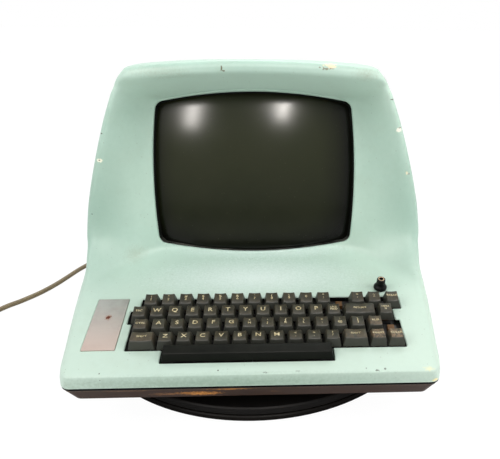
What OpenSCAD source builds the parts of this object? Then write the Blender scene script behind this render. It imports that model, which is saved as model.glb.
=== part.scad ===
// Desktop computer terminal: moulded clamshell housing, sloping keyboard, 12 inch tube,
// on a round swivel base. Origin on the table under the swivel axis, +Y to the rear, +Z up.

/* [Housing] */
// Half of the greatest width of the upper shell
half_w = 204.5; // [188:0.5:220]
// Distance from the swivel axis to the front lip
front_reach = 237; // [225:1:250]
// Distance from the swivel axis to the back of the shell
rear_reach = 229; // [215:1:245]
// Height of the top of the hood above the table
top_z = 358.5; // [345:0.5:375]
// Height of the parting line between shell and base tray
parting_z = 62; // [58:1:66]
// Wall thickness of the moulded shell
shell_wall = 4; // [3:0.5:5]
// How much each side leans in at the top of the hood
side_lean = 50; // [30:1:60]
// How much each side draws in towards the front lip
nose_taper = 15.8; // [4:0.2:20]
// How far the hood edge stands in front of its lowest point at the top
hood_overhang = 8; // [0:1:16]
// Radius of the rolled hood edge
hood_edge_r = 9; // [6:1:12]

/* [Screen] */
// Half width of the screen opening at its middle
open_half_w = 123.7; // [110:0.5:128]
// Half height of the screen opening at its middle
open_half_h = 97; // [85:0.5:100]
// Backward tilt of the screen
screen_tilt = 13; // [8:1:16]
// Radius of the glass face
face_r = 650; // [500:10:900]
// Length of the picture tube from face to neck end
tube_len = 222; // [200:1:226]

/* [Keyboard] */
// Slope of the keyboard deck
deck_slope = 14; // [11:0.5:16]
// Spacing of the keys
key_pitch = 19.05; // [18.5:0.05:19.4]
// Height of the key tops above the deck
key_rise = 12; // [10:0.5:14]
// Travel of every key
key_travel = 3.8; // [2.5:0.1:4]
// Gap between neighbouring key caps
key_gap = 1.6; // [0.8:0.05:2]
// Thickness of the logic board
board_t = 1.6; // [1.2:0.2:2.4]

/* [Base] */
// Wall thickness of the base tray
tray_wall = 3; // [2:0.5:4]
// Height of the underside of the tray above the table
tray_z = 38; // [34:1:40]
// Radius of the lower swivel disc
disc_r = 216; // [190:1:225]
// Thickness of the lower swivel disc
disc_t = 7; // [6:0.5:8]
// Radius of the swivel pivot
pivot_r = 12; // [8:1:16]
// Radius of the hinge pins
hinge_pin_r = 2; // [1.5:0.25:2.5]
// Radial clearance of pins and shafts in their bores
run_fit = 0.05; // [0.02:0.01:0.1]

/* [Knob and cord] */
// Radius of the contrast knob at its skirt
knob_r = 7.7; // [6:0.1:9]
// Height of the contrast knob
knob_h = 15; // [10:1:18]
// Diameter of the mains lead
cord_d = 7; // [6:0.5:7]

/* [Hidden] */
$fn = 48;
mint = "#a9cfc0";
brown = "#4a3630";
black = "#1b1b1c";
charcoal = "#34363a";
steel = "#b9bcc0";
rubber = "#202020";

// Shared small functions
function mix(a, b, t) = a + (b - a) * t;
function smooth_min(a, b, k) = let (h = max(k - abs(a - b), 0) / k) min(a, b) - h * h * k / 4;
function smooth_max(a, b, k) = -smooth_min(-a, -b, k);
function mirrored(pts) = [for (i = [len(pts) - 1:-1:0]) [-pts[i].x, pts[i].y, pts[i].z]];

// Keyboard frame: origin at the middle of the number row's key tops
front_y = -front_reach;
row_y = front_y + 93.5;
row_z = parting_z + 49;
deck_z = row_z - key_rise;
deck_rise = tan(deck_slope);
// Screen frame: origin at the middle of the opening's lower edge
sill_y = row_y + 98.5;
sill_z = row_z + 18;
lean_from = 150;
lean_at = 337;
lean_power = 1.55;
crown_w = 145;
crown_h = 8.5;
brow_drop = 33.5;
brow_depth = 59;
wing_y = sill_y - 10;
wing_sweep = 68;
wing_sweep_h = 28;
tail_taper = 12;
tail_flat = -52;

module on_keys() {
    translate([0, row_y, row_z]) rotate([deck_slope, 0, 0]) children();
}
module on_screen() {
    translate([0, sill_y, sill_z]) rotate([90 - screen_tilt, 0, 0]) children();
}
module at_screen_middle() {
    on_screen() translate([0, open_half_h - 1, 0]) children();
}

// Skin of the upper shell: every level is one closed outline, front middle to back middle.
// The inset moves the skin inwards, for the inner face of the wall.
function deck_line(z, inset) = row_y + (z - deck_z) / deck_rise + inset / sin(deck_slope);
function screen_line(z, inset) = sill_y + (z - sill_z) * tan(screen_tilt) + inset / cos(screen_tilt);
sill_top_z = sill_z + 2 * open_half_h * cos(screen_tilt);
brow_angle = atan(brow_drop / brow_depth);
function brow_line(z, inset) =
    screen_line(sill_top_z, 0) - (z - sill_top_z) * brow_depth / brow_drop + inset / sin(brow_angle);
function hood_line(z, inset) =
    wing_y - wing_sweep * exp(-(z - deck_z - 5) / wing_sweep_h)
    - hood_overhang * pow(max(0, z - 230) / 115, 2) + inset;
function tip_line(z, inset) = smooth_max(
    front_y + inset, smooth_min(deck_line(z, inset), hood_line(z, inset), 6), 8);
function crown(x) = crown_h * pow(x / crown_w, 2);
function lean(z) = side_lean * pow(max(0, z - lean_from) / (lean_at - lean_from), lean_power);
function plan_half(y) =
    half_w - nose_taper * pow(max(0, front_y + 140 - y) / 140, 1.25)
    - tail_taper * pow(max(0, y - 60) / (rear_reach - 60), 2);
function crown_half(z, inset) = crown_w * sqrt(max(0.02, top_z - inset - z) / crown_h);
function skin_half(y, z, inset) = smooth_min(plan_half(y) - lean(z) - inset, crown_half(z, inset), 11);
function rear_line(z, inset) =
    tail_flat + (rear_reach - inset - tail_flat)
    * pow(max(0, 1 - pow(max(0, z - parting_z) / (top_z - inset - parting_z), 2.5)), 1 / 1.8);
function wing_share(x, z, inset) =
    let (reach = skin_half(tip_line(z, 0), z, 0) - 6, from = open_half_w + 2)
    pow(max(0, min(1, (abs(x) - 0.9 * inset - from) / max(4, reach - from))), 1.2);
function roll(z, inset) = let (
    rise = max(0, min(0.98, (z + hood_edge_r + inset - top_z) / hood_edge_r))
    ) hood_edge_r * (1 - sqrt(1 - rise * rise));
function face_line(x, z, inset) = let (
    zc = z + crown(x),
    hollow = smooth_min(smooth_min(deck_line(z, inset), screen_line(z, inset), 12),
        brow_line(zc, inset), 10),
    tip = tip_line(z, inset)
    ) max(hollow - max(0, hollow - tip) * wing_share(x, z, inset), tip) + roll(zc, inset);
function corner_depth(z) = lookup(z, [[parting_z, 12], [parting_z + 8, 14], [parting_z + 18, 34],
    [deck_z + 4, 34], [deck_z + 30, 14], [deck_z + 60, 10]]);

function half_outline(z, inset, n, steps) = let (
    tip = tip_line(z, inset),
    w = skin_half(tip, z, inset),
    rx = min(10, w / 3),
    ry = min(corner_depth(z), (rear_line(z, inset) - tip) / 4),
    flat = w - rx,
    y0 = face_line(flat, z, inset),
    back = rear_line(z, inset),
    rc = min(62, (back - y0 - ry) * 0.6, w * 0.6)
    ) concat(
        [for (i = [0:n]) let (x = flat * i / n) [x, face_line(x, z, inset), z]],
        [for (i = [1:steps]) let (a = 90 * i / steps, y = y0 + ry * (1 - cos(a)))
            [skin_half(y, z, inset) - rx * (1 - sin(a)), y, z]],
        [for (i = [1:4]) let (y = mix(y0 + ry, back - rc, i / 4)) [skin_half(y, z, inset), y, z]],
        [for (i = [1:steps]) let (a = 90 * i / steps, y = back - rc * (1 - sin(a)))
            [skin_half(y, z, inset) - rc * (1 - cos(a)), y, z]]);
function outline(z, inset, n, steps) = let (h = half_outline(z, inset, n, steps), last = len(h) - 1)
    concat(h, [[0, h[last].y, z]], mirrored([for (i = [1:last]) h[i]]));

module loft(rings) {
    m = len(rings[0]);
    k = len(rings);
    points = [for (r = rings) each r];
    sides = [for (j = [0:k - 2]) for (i = [0:m - 1]) let (
        a = j * m + i, b = j * m + (i + 1) % m) each [[a, a + m, b], [b, a + m, b + m]]];
    low = [[for (i = [0:m - 1]) i]];
    high = [[for (i = [m - 1:-1:0]) (k - 1) * m + i]];
    polyhedron(points, concat(sides, low, high));
}

outer_levels = concat(
    [parting_z, parting_z + 3, parting_z + 7, parting_z + 11, parting_z + 14, parting_z + 18],
    [for (t = [0:3]) mix(parting_z + 24, deck_z + 4, t / 3)],
    [for (t = [0:6]) mix(deck_z + 8, sill_z + 4, t / 6)],
    [for (t = [0:9]) mix(sill_z + 14, sill_top_z - 10, t / 9)],
    [for (t = [0:7]) mix(sill_top_z - 2, top_z - 7, t / 7)],
    [top_z - 4.5, top_z - 2.6, top_z - 1.2, top_z - 0.3]);
inner_levels = concat(
    [parting_z - 1, parting_z + 6, parting_z + 12],
    [for (t = [0:2]) mix(parting_z + 20, deck_z + 4, t / 2)],
    [for (t = [0:4]) mix(deck_z + 9, sill_z + 5, t / 4)],
    [for (t = [0:5]) mix(sill_z + 20, sill_top_z - 12, t / 5)],
    [for (t = [0:4]) mix(sill_top_z - 2, top_z - shell_wall - 5, t / 4)],
    [top_z - shell_wall - 1.5]);

module skin() {
    loft([for (z = outer_levels) outline(z, 0, 13, 4)]);
}
module hollow() {
    loft([for (z = inner_levels) outline(z, shell_wall, 10, 4)]);
}

// Outline of the screen opening, grown by a margin
module screen_shape(margin) {
    side_r = 900;
    brow_r = 620;
    offset(r = 11 + margin) offset(r = -11)
        intersection() {
            translate([open_half_w - side_r, 0]) circle(r = side_r, $fn = 180);
            translate([side_r - open_half_w, 0]) circle(r = side_r, $fn = 180);
            translate([0, open_half_h - brow_r]) circle(r = brow_r, $fn = 180);
            translate([0, brow_r - open_half_h]) circle(r = brow_r, $fn = 180);
        }
}

// Key layout: row number, column, width in pitches. Row offsets follow the usual stagger.
first_x = -113.6;
row_shift = [0, 0, 0.5, 0.75, 1.25, 5.75];
function key_x(row, col) = first_x + (row_shift[row] + col) * key_pitch;
function key_v(row) = -(row - 1) * key_pitch;
space_len = 9;

digits_left = [for (c = [0:4]) [1, c, 1]];
digits_right = [for (c = [5:9]) [1, c, 1]];
row_ends = [[1, 10, 1], [1, 12, 1], [1, 13, 1]];
top_left = [for (c = [0:4]) [2, c, 1]];
top_right = [for (c = [5:9]) [2, c, 1]];
home_left = [for (c = [0:4]) [3, c, 1]];
home_right = [for (c = [5:11]) [3, c, 1]];
bottom_left = [for (c = [0:4]) [4, c, 1]];
bottom_right = [for (c = [5:9]) [4, c, 1]];
break_spot = [[1, 14, 1]];
escape_spot = [[2, -1, 1]];
line_feed_spot = [[2, 10, 1]];
return_spot = [[2, 11.5, 2]];
here_spot = [[2, 13, 1]];
control_spot = [[3, -1, 1]];
rubout_spot = [[3, 12, 1]];
shift_left_spot = [[4, -1.25, 1.5]];
shift_right_spot = [[4, 10.25, 1.5]];
repeat_spot = [[4, 11.5, 1]];
clear_spot = [[4, 12.5, 1]];
bare_spots = [[1, 11, 1], [3, 13, 1]];
space_spot = [[5, 0, space_len]];
all_spots = concat(digits_left, digits_right, row_ends, top_left, top_right, home_left,
    home_right, bottom_left, bottom_right, break_spot, escape_spot, line_feed_spot, return_spot,
    here_spot, control_spot, rubout_spot, shift_left_spot, shift_right_spot, repeat_spot,
    clear_spot, bare_spots, space_spot);

stem_w = 7.4;
switch_w = 15;
cap_skirt = -11;
switch_top = min(cap_skirt - key_travel - 0.8, -key_rise - shell_wall - 0.5);
board_h = switch_top - 13.8;
cap_base = key_pitch - key_gap;
row_tilt = [0, 7, 3, -2, -6, -8];

// Keyboard opening in the deck: one step per row, clear of every cap by a margin
side_room = 3.2;
step_room = 0.4;
front_room = 1.2;
bar_front = -6;
bar_back = 8.3;
function row_left(row) = row == 1 ? key_x(1, -0.5)
    : row == 2 ? key_x(2, -1.5) : key_x(3, -1.5);
function row_right(row) = row == 1 ? key_x(1, 14.5)
    : row == 2 ? key_x(2, 13.5) : key_x(3, 13.5);
space_x = key_x(5, 0);
space_half = space_len * key_pitch / 2;
row_edge = [for (r = [0:4]) (0.5 - r) * key_pitch];
function below_row(row) = key_v(row) - cap_base / 2 - step_room;
bar_edge = key_v(5) + bar_front - front_room;
opening_points = [
    [row_left(1) - side_room, row_edge[0] + 2], [row_left(1) - side_room, row_edge[1] + 2],
    [row_left(2) - side_room, row_edge[1] + 2], [row_left(2) - side_room, below_row(2)],
    [row_left(3) - side_room, below_row(2)], [row_left(3) - side_room, below_row(4)],
    [space_x - space_half - 1.5, below_row(4)], [space_x - space_half - 1.5, bar_edge],
    [space_x + space_half + 1.5, bar_edge], [space_x + space_half + 1.5, below_row(4)],
    [row_right(3) + side_room - 1, below_row(4)], [row_right(3) + side_room - 1, row_edge[2] + 2],
    [row_right(2) + side_room - 1, row_edge[2] + 2], [row_right(2) + side_room - 1, below_row(1)],
    [row_right(1) + side_room - 1, below_row(1)], [row_right(1) + side_room - 1, row_edge[0] + 2]
];

// Left hand plate over the option switches
plate_w = 34;
plate_d = 77;
plate_t = 1.5;
plate_x = -158;
plate_v = -26.8;
plate_sink = 0.9;

// Contrast control
knob_x = 147.3;
knob_v = 25;
shaft_r = 3;
bush_r = 4.5;

// Picture tube sizes
panel_half_w = open_half_w + 10;
panel_half_h = open_half_h + 9;
panel_n = -14;
neck_r = 14.3;
ear_x = panel_half_w + 5;
ear_y = panel_half_h + 3;
ear_n = -24;
tube_screw_r = 2;

// Swivel stack
upper_disc_z = disc_t + 1;
upper_disc_t = 9;
race_r = 150;
ball_r = 3;
feet_z = upper_disc_z + upper_disc_t;

// Hinge
hinge_y = rear_reach + 4.2;
hinge_z = parting_z - 0.8;
knuckle_r = 4;
hinge_x = 85;
knuckle_len = 16;

module swivel_base() {
    color(black) difference() {
        rotate_extrude($fn = 180) polygon([[pivot_r + run_fit, 0], [disc_r - 1.5, 0], [disc_r, 1.5],
            [disc_r, disc_t - 1.5], [disc_r - 1.5, disc_t], [pivot_r + run_fit, disc_t]]);
        translate([0, 0, disc_t]) rotate_extrude() translate([race_r, 0])
            square([8, 5], center = true);
    }
}

module bearing_ring() {
    color(steel) {
        translate([0, 0, disc_t - 0.9]) difference() {
            cylinder(r = race_r + 3.5, h = 1.2, $fn = 120);
            translate([0, 0, -1]) cylinder(r = race_r - 3.5, h = 4, $fn = 120);
        }
        for (a = [0:15:345]) rotate(a) translate([race_r, 0, disc_t + 0.55]) sphere(r = ball_r, $fn = 24);
    }
}

module swivel_top() {
    color(charcoal) {
        difference() {
            translate([0, 0, upper_disc_z]) rotate_extrude($fn = 180) polygon([[0, 0], [disc_r - 2, 0],
                [disc_r - 1, 1], [disc_r - 1, upper_disc_t - 1.5], [disc_r - 2.5, upper_disc_t],
                [0, upper_disc_t]]);
            translate([0, 0, upper_disc_z]) rotate_extrude() translate([race_r, 0])
                square([8, 6], center = true);
        }
        translate([0, 0, 0.5]) cylinder(r = pivot_r, h = upper_disc_z);
    }
}

foot_spots = [[-130, -150], [130, -150], [-130, 130], [130, 130]];
module rubber_feet() {
    color(rubber) for (p = foot_spots) translate([p.x, p.y, feet_z]) difference() {
        cylinder(r1 = 14, r2 = 12, h = tray_z - feet_z, $fn = 40);
        translate([0, 0, -1]) cylinder(r = 2.4, h = 8, $fn = 24);
    }
}

// Plan outline of the parting line, drawn in by an inset
module plan(inset) {
    offset(delta = -inset) polygon([for (p = outline(parting_z, 0, 6, 8)) [p.x, p.y]]);
}
// Flared body of the tray with a rounded lower edge
module flared(inset, z_low, z_high, edge) {
    share = 1 - edge / (z_high - z_low);
    hull() {
        translate([0, 0, z_high]) linear_extrude(0.1) plan(0.5 + inset);
        translate([0, 0, z_low + edge]) linear_extrude(0.1)
            scale([1 - share * flare_x, 1 - share * flare_y]) plan(0.5 + inset);
        translate([0, 0, z_low + 0.3 * edge]) linear_extrude(0.1)
            scale([1 - flare_x, 1 - flare_y]) plan(0.5 + inset + 0.3 * edge);
        translate([0, 0, z_low]) linear_extrude(0.1)
            scale([1 - flare_x, 1 - flare_y]) plan(0.5 + inset + edge);
    }
}
board_x = 166;
board_front = -91;
board_back = 86;
lip_inset = 3;
panel_x = 35;
panel_half = 125;
panel_y = rear_reach - 14;

module board_rib(x) {
    h = board_h - board_t - 0.05;
    front_point = [row_y + board_front * cos(deck_slope) - h * sin(deck_slope),
        row_z + board_front * sin(deck_slope) + h * cos(deck_slope)];
    back_point = [row_y + board_back * cos(deck_slope) - h * sin(deck_slope),
        row_z + board_back * sin(deck_slope) + h * cos(deck_slope)];
    translate([x - 1.5, 0, 0]) rotate([90, 0, 90]) linear_extrude(3) polygon([
        [front_point.x + 4, tray_z + 1], front_point + [4, 4 * deck_rise], back_point - [3, 3 * deck_rise],
        [back_point.x - 3, tray_z + 1]]);
}

floor_z = tray_z + tray_wall;
case_screw_x = 172;
case_screw_y = front_y + 32;
case_screw_r = 1.8;
flare_x = 8 / half_w;
flare_y = 14 / front_reach;
tray_edge = 3;
// Height to rear outer face of the tray
function tray_back(z) = (rear_reach - 0.5)
    * (1 - flare_y * (parting_z - 2.1 - z) / (parting_z - 2.2 - tray_z)) + 0.05;

module base_tray() {
    color(brown) difference() {
        union() {
            difference() {
                flared(0, tray_z, parting_z - 2.1, tray_edge);
                flared(tray_wall, tray_z + tray_wall, parting_z - 1.9, 1);
            }
            translate([0, 0, parting_z - 6]) linear_extrude(5.9) difference() {
                plan(lip_inset);
                plan(lip_inset + 3);
            }
            for (x = [-board_x + 6, -60, 60, board_x - 6]) board_rib(x);
            for (p = foot_spots) translate([p.x, p.y, tray_z]) cylinder(r = 8, h = 6);
        }
        for (p = foot_spots) translate([p.x, p.y, tray_z - 1]) cylinder(r = 1.8, h = 9);
        for (x = [-70:14:70]) translate([x - 2.5, -30, tray_z - 1]) cube([5, 60, tray_wall + 2]);
        translate([panel_x - panel_half, panel_y - 8, tray_z + tray_wall + 0.5])
            cube([2 * panel_half, 40, parting_z - tray_z - tray_wall - 7]);
        for (x = [-1, 1]) translate([x * case_screw_x, case_screw_y, tray_z - 1])
            cylinder(r = case_screw_r + 0.5, h = 9);
        translate([cord_x, panel_y - 8, cord_z]) rotate([-90, 0, 0]) cylinder(r = gland_r + 0.1, h = 30);
    }
}

rocker_x = 140;
rocker_tilt = 8;
fuse_x = 112;
panel_z = tray_z + tray_wall + 0.6;
panel_h = parting_z - tray_z - tray_wall - 7.3;
panel_mid = panel_z + panel_h / 2;
module rear_panel() {
    color(steel) translate([panel_x, panel_y, panel_z]) difference() {
        translate([-panel_half + 0.3, -1.5, 0]) cube([2 * panel_half - 0.6, 1.5, panel_h]);
        for (x = [-60, 20]) translate([x - panel_x + 26 - 21, -3, panel_h / 2 - 5]) cube([42, 6, 10]);
        translate([rocker_x - panel_x - 10.2, -3, panel_h / 2 - 5.7]) cube([20.4, 6, 11.4]);
        translate([fuse_x - panel_x, 2, panel_h / 2]) rotate([90, 0, 0]) cylinder(r = 5.6, h = 6);
    }
}

module data_connectors() {
    color(steel) for (x = [-60, 20]) translate([x + 26, panel_y, panel_mid]) {
        difference() {
            translate([-26, 0.05, -6]) cube([52, 1.2, 12]);
            for (s = [-1, 1]) translate([s * 23.5, -1, 0]) rotate([-90, 0, 0]) cylinder(r = 1.5, h = 4);
        }
        translate([0, 1.25, 0]) rotate([-90, 0, 0]) linear_extrude(5) difference() {
            polygon([[-20, -4.2], [20, -4.2], [18.6, 4.2], [-18.6, 4.2]]);
            polygon([[-19.2, -3.5], [19.2, -3.5], [17.9, 3.5], [-17.9, 3.5]]);
        }
        translate([-18, -9, -3.2]) cube([36, 12, 6.4]);
        translate([-20, -9, -4.6]) cube([40, 7.4, 9.2]);
    }
}

module switch_housing() {
    color(black) translate([rocker_x, panel_y, panel_mid]) difference() {
        union() {
            translate([-10, -14, -5.5]) cube([20, 14.5, 11]);
            translate([-11.4, 0.1, -6.6]) cube([22.8, 1.6, 13.2]);
        }
        translate([-8.3, -4.5, -4.6]) cube([16.6, 8, 9.2]);
        translate([-9.4, 0.6, 0]) rotate([0, 90, 0]) cylinder(r = 1.2 + run_fit, h = 18.8);
    }
}
// Rocker of the mains switch, drawn pressed to one side
module power_switch() {
    color(charcoal) translate([rocker_x, panel_y + 0.6, panel_mid]) {
        rotate([0, 90, 0]) translate([0, 0, -9.2]) cylinder(r = 1.2, h = 18.4);
        rotate([90, 0, 90]) linear_extrude(16, center = true) rotate(rocker_tilt) polygon([
            [-2.6, -3.6], [0.6, -3.6], [2.6, -3.4], [1.6, 0], [2.6, 3.4], [0.6, 3.6], [-2.6, 3.6]]);
    }
}

module fuse_holder() {
    color(black) translate([fuse_x, panel_y, panel_mid]) rotate([-90, 0, 0]) {
        translate([0, 0, -26]) cylinder(r = 5.4, h = 30);
        translate([0, 0, 0.1]) cylinder(r = 6.8, h = 2.5);
        translate([0, 0, 2]) cylinder(r1 = 5.8, r2 = 5, h = 7);
    }
}

// Mains lead: the free stretch follows these points, then meets the coil
gland_r = 6.5;
cord_x = -120;
cord_z = 48;
relief_len = 42;
gland_len = 16.5;
relief_bore = 12;
relief_end_y = panel_y + 2 + relief_len;
laid_route = [
    [cord_x, relief_end_y - relief_bore + 0.02, cord_z], [-120, 259, 48], [-120, 266, 47.5],
    [-121, 276, 45], [-124, 287, 38], [-130, 296, 27], [-140, 302, 15],
    [-154, 305, 7], [-170, 304, 3.6], [-190, 299, 3.6], [-212, 288, 3.6],
    [-234, 271, 3.6], [-255, 249, 3.6], [-274, 223, 3.6], [-290, 195, 3.6], [-303, 168, 3.6],
    [-313, 138, 3.6], [-323, 110, 3.6], [-336, 83, 3.6], [-353, 58, 3.6], [-367, 42, 3.6],
    [-377, 27, 3.6], [-386, 12, 3.6]
];
cord_sides = 8;

module strain_relief() {
    color(rubber) translate([cord_x, panel_y - 3, cord_z]) rotate([-90, 0, 0]) difference() {
        union() {
            cylinder(r = gland_r, h = gland_len);
            translate([0, 0, gland_len])
                cylinder(r1 = gland_r + 1, r2 = cord_d / 2 + 0.9, h = relief_len - gland_len + 5);
        }
        translate([0, 0, relief_len + 5 - relief_bore])
            cylinder(r = cord_d / 2 + 0.02, h = relief_bore + 1);
    }
}

function unit(v) = v / norm(v);
function ring_at(c, d, r, n) = let (
    side = unit(cross(d, [0, 0, 1])), up = cross(side, d)
    ) [for (i = [0:n - 1]) let (a = 360 * i / n + 180 / n) c + r * (cos(a) * side + sin(a) * up)];
function along(pts, i) = unit(pts[min(i + 1, len(pts) - 1)] - pts[max(i - 1, 0)]);
module tube(pts, r, n) {
    loft([for (i = [0:len(pts) - 1]) ring_at(pts[i], along(pts, i), r, n)]);
}

// Spare length of the lead: a round coil that winds in, climbs, winds out and ends in the plug
coil_x = -440;
coil_y = 12;
coil_mid_r = 40;
coil_step = cord_d + 0.8;
coil_in = 2.5;
coil_out = 4.6;
coil_turns = 5 + 1 / 6;
coil_rings = 24;
coil_from = -27;
coil_low_z = cord_d / 2 + 0.1;
plug_h = 13;
plug_z = coil_low_z + coil_step + cord_d / 2 + plug_h / 2 + 0.2;
function coil_r(s) = s < coil_in ? coil_mid_r + coil_step * (coil_in / 2 - s)
    : s < coil_out ? coil_mid_r + coil_step * (s - 1.5 * coil_in)
    : coil_mid_r + coil_step * (coil_out - 1.5 * coil_in) - (s - coil_out) * 20;
function ramp(s, from, to) = max(0, min(1, (s - from) / (to - from)));
function coil_height(s) = coil_low_z + coil_step * ramp(s, coil_in - 0.25, coil_in + 0.25)
    + (plug_z - coil_low_z - coil_step) * ramp(s, coil_out - 0.25, coil_out + 0.2);
function coil_point(s) = let (a = coil_from - 360 * s)
    [coil_x + coil_r(s) * cos(a), coil_y + coil_r(s) * sin(a), coil_height(s)];
coil_turning = [for (i = [0:round(coil_turns * coil_rings)]) coil_point(i / coil_rings)];
coil_last = len(coil_turning) - 1;
coil_in_dir = along(coil_turning, 0);
coil_out_dir = unit([for (i = [0:1]) (coil_turning[coil_last] - coil_turning[coil_last - 1])[i]]);
coil_end = coil_turning[coil_last] + cord_d * [coil_out_dir.x, coil_out_dir.y, 0];
coil_start = coil_turning[0] - cord_d * coil_in_dir;
coil_path = concat([coil_start], coil_turning, [coil_end]);
route = concat(laid_route, [coil_start - cord_d * coil_in_dir, coil_start]);
coil_gap = min([for (i = [0:coil_last]) for (j = [i + 12:coil_last])
    norm(coil_turning[i] - coil_turning[j])]) - cord_d;
echo(least_coil_gap = coil_gap);
coil_len = sum_len(coil_path);
function sum_len(p) = [for (i = [1:len(p) - 1]) norm(p[i] - p[i - 1])] * [for (i = [1:len(p) - 1]) 1];
echo(lead_length = coil_len + sum_len(route));

module power_cord() {
    color("#7a6a5c") tube(route, cord_d / 2, cord_sides);
}

module cord_coil() {
    color("#7a6a5c") tube(coil_path, cord_d / 2, 6);
}

// Three pin mains plug, lying flat on the coil
module plug() {
    heading = atan2(coil_out_dir.y, coil_out_dir.x);
    translate(coil_end + [coil_out_dir.x, coil_out_dir.y, 0] * 0.02) rotate([0, 0, heading]) {
        color(black) hull() {
            rotate([0, 90, 0]) cylinder(r = 4.2, h = 1, $fn = 24);
            translate([14, -11, -plug_h / 2]) cube([18, 22, plug_h]);
        }
        color(steel) {
            for (s = [-1, 1]) translate([31.9, s * 6.35 - 0.75, -3.2]) cube([16, 1.5, 6.4]);
            translate([31.9, 0, 0]) rotate([0, 90, 0]) cylinder(r = 2.4, h = 18);
        }
    }
}

// Power supply parts on the tray floor
core_w = 78;
core_h = 62;
core_d = 38;
limb = core_w / 6;
module power_transformer() {
    translate([-118, 92, floor_z + 0.05]) {
        color("#7d7f82") {
            translate([-core_w / 2 - 13, -12, 0]) difference() {
                cube([core_w + 26, 24, 2]);
                for (x = [6, core_w + 20]) translate([x, 12, -1]) cylinder(r = 2.4, h = 4);
            }
            translate([0, core_d / 2, 1.9]) rotate([90, 0, 0]) linear_extrude(core_d) difference() {
                translate([-core_w / 2, 0]) square([core_w, core_h]);
                for (s = [-1, 1]) translate([s * 1.5 * limb - limb / 2, limb])
                    square([limb, core_h - 2 * limb]);
            }
            for (x = [-1, 1]) for (z = [limb / 2, core_h - limb / 2])
                translate([x * (core_w - limb) / 2, core_d / 2 + 4, z + 1.9]) rotate([90, 0, 0]) {
                    cylinder(r = 2, h = core_d + 8);
                    translate([0, 0, 1]) cylinder(r = 4, h = 3, $fn = 6);
                }
        }
        color("#b8863c") translate([0, 0, limb + 2.2]) linear_extrude(core_h - 2 * limb - 0.6)
            difference() {
                offset(r = 6) square([4 * limb - 12.4, core_d + 12], center = true);
                square([2 * limb + 0.2, core_d + 0.2], center = true);
            }
    }
}
module capacitors() {
    color("#3b4d8a") for (x = [-44, 0, 44]) translate([x, 165, floor_z + 0.05]) {
        rotate_extrude() polygon([[0, 0], [17, 0], [17.5, 1], [17.5, 8], [16.8, 9], [16.8, 58],
            [17.3, 60], [16.2, 61], [15.4, 58.6], [0, 58.6]]);
        rotate_extrude() translate([17.4, 3]) square([2.6, 9]);
        for (s = [-1, 1]) translate([s * 7, 0, 58.5]) {
            cylinder(r = 4, h = 2.6);
            cylinder(r = 2.4, h = 6);
        }
    }
}
fin_count = 10;
fin_step = 9.4;
module heat_sink() {
    color(black) translate([76, 152, floor_z + 0.05]) {
        linear_extrude(52) {
            square([(fin_count - 1) * fin_step + 2.2, 4]);
            for (i = [0:fin_count - 1]) translate([i * fin_step, 3.9]) square([2.2, 22]);
        }
        for (x = [24, 62]) translate([x, 0.1, 27]) rotate([90, 0, 0]) {
            cylinder(r = 14, h = 1.8);
            cylinder(r = 10.5, h = 8);
        }
    }
}
module beeper() {
    color(black) translate([140, 70, floor_z + 0.05]) rotate_extrude() polygon([[0, 0], [15, 0], [15, 9],
        [17, 9], [31, 19], [34, 19], [34, 21], [30.5, 21], [13, 13], [8, 14.5], [0, 15]]);
}

module logic_board() {
    color("#2f6b3c") on_keys() translate([-board_x, board_front, board_h - board_t])
        cube([2 * board_x, board_back - board_front, board_t]);
}

// Integrated circuits behind the keys: rows of dual in line bodies on their pins
chip_rows = [[20, 11, 19.5, 6.6], [38, 11, 19.5, 6.6], [58, 6, 41, 14], [76, 11, 19.5, 6.6]];
module logic_chips() {
    color(black) on_keys() for (row = chip_rows) for (i = [0:row[1] - 1]) {
        pitch = (row[1] > 8) ? 25.4 : 48;
        translate([-142 + i * pitch, row[0] - row[3] / 2, board_h + 0.05]) {
            translate([0, 0, 0.9]) difference() {
                cube([row[2], row[3], 3.6]);
                translate([-0.1, row[3] / 2, 3]) cylinder(r = 1.2, h = 2);
            }
            translate([1.2, 0.2, 0]) cube([row[2] - 2.4, row[3] - 0.4, 1]);
        }
    }
}

module option_switches() {
    color("#a02c2c") on_keys() for (v = [-46, -16])
        translate([plate_x - 5, v - 10.4, board_h + 0.05]) {
            cube([10, 20.8, 8.6]);
            for (i = [0:6]) translate([i % 2 == 0 ? 2.2 : 5.2, 1.4 + i * 2.7, 8.5]) cube([2.4, 1.8, 1.6]);
        }
}

// Switch bodies on the board, fused with the plate that holds them in line
module key_switches() {
    color(black) on_keys() difference() {
        union() {
            for (k = all_spots) translate([key_x(k[0], k[1]), key_v(k[0]), board_h + 0.05])
                linear_extrude(switch_top - board_h - 0.05) square(switch_w, center = true);
            translate([0, 0, switch_top - 4.2]) linear_extrude(1.2) offset(delta = 2)
                polygon(opening_points);
        }
        for (k = all_spots) translate([key_x(k[0], k[1]), key_v(k[0]), board_h - 1])
            linear_extrude(30) square(stem_w + 0.6, center = true);
    }
}

module stem(top) {
    low = board_h + key_travel + 1.6;
    translate([-stem_w / 2, -stem_w / 2, low]) cube([stem_w, stem_w, top - low]);
}
module bare_plungers() {
    color("#5a3c28") on_keys() for (k = bare_spots)
        translate([key_x(k[0], k[1]), key_v(k[0]), 0]) stem(-11.5);
}

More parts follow.
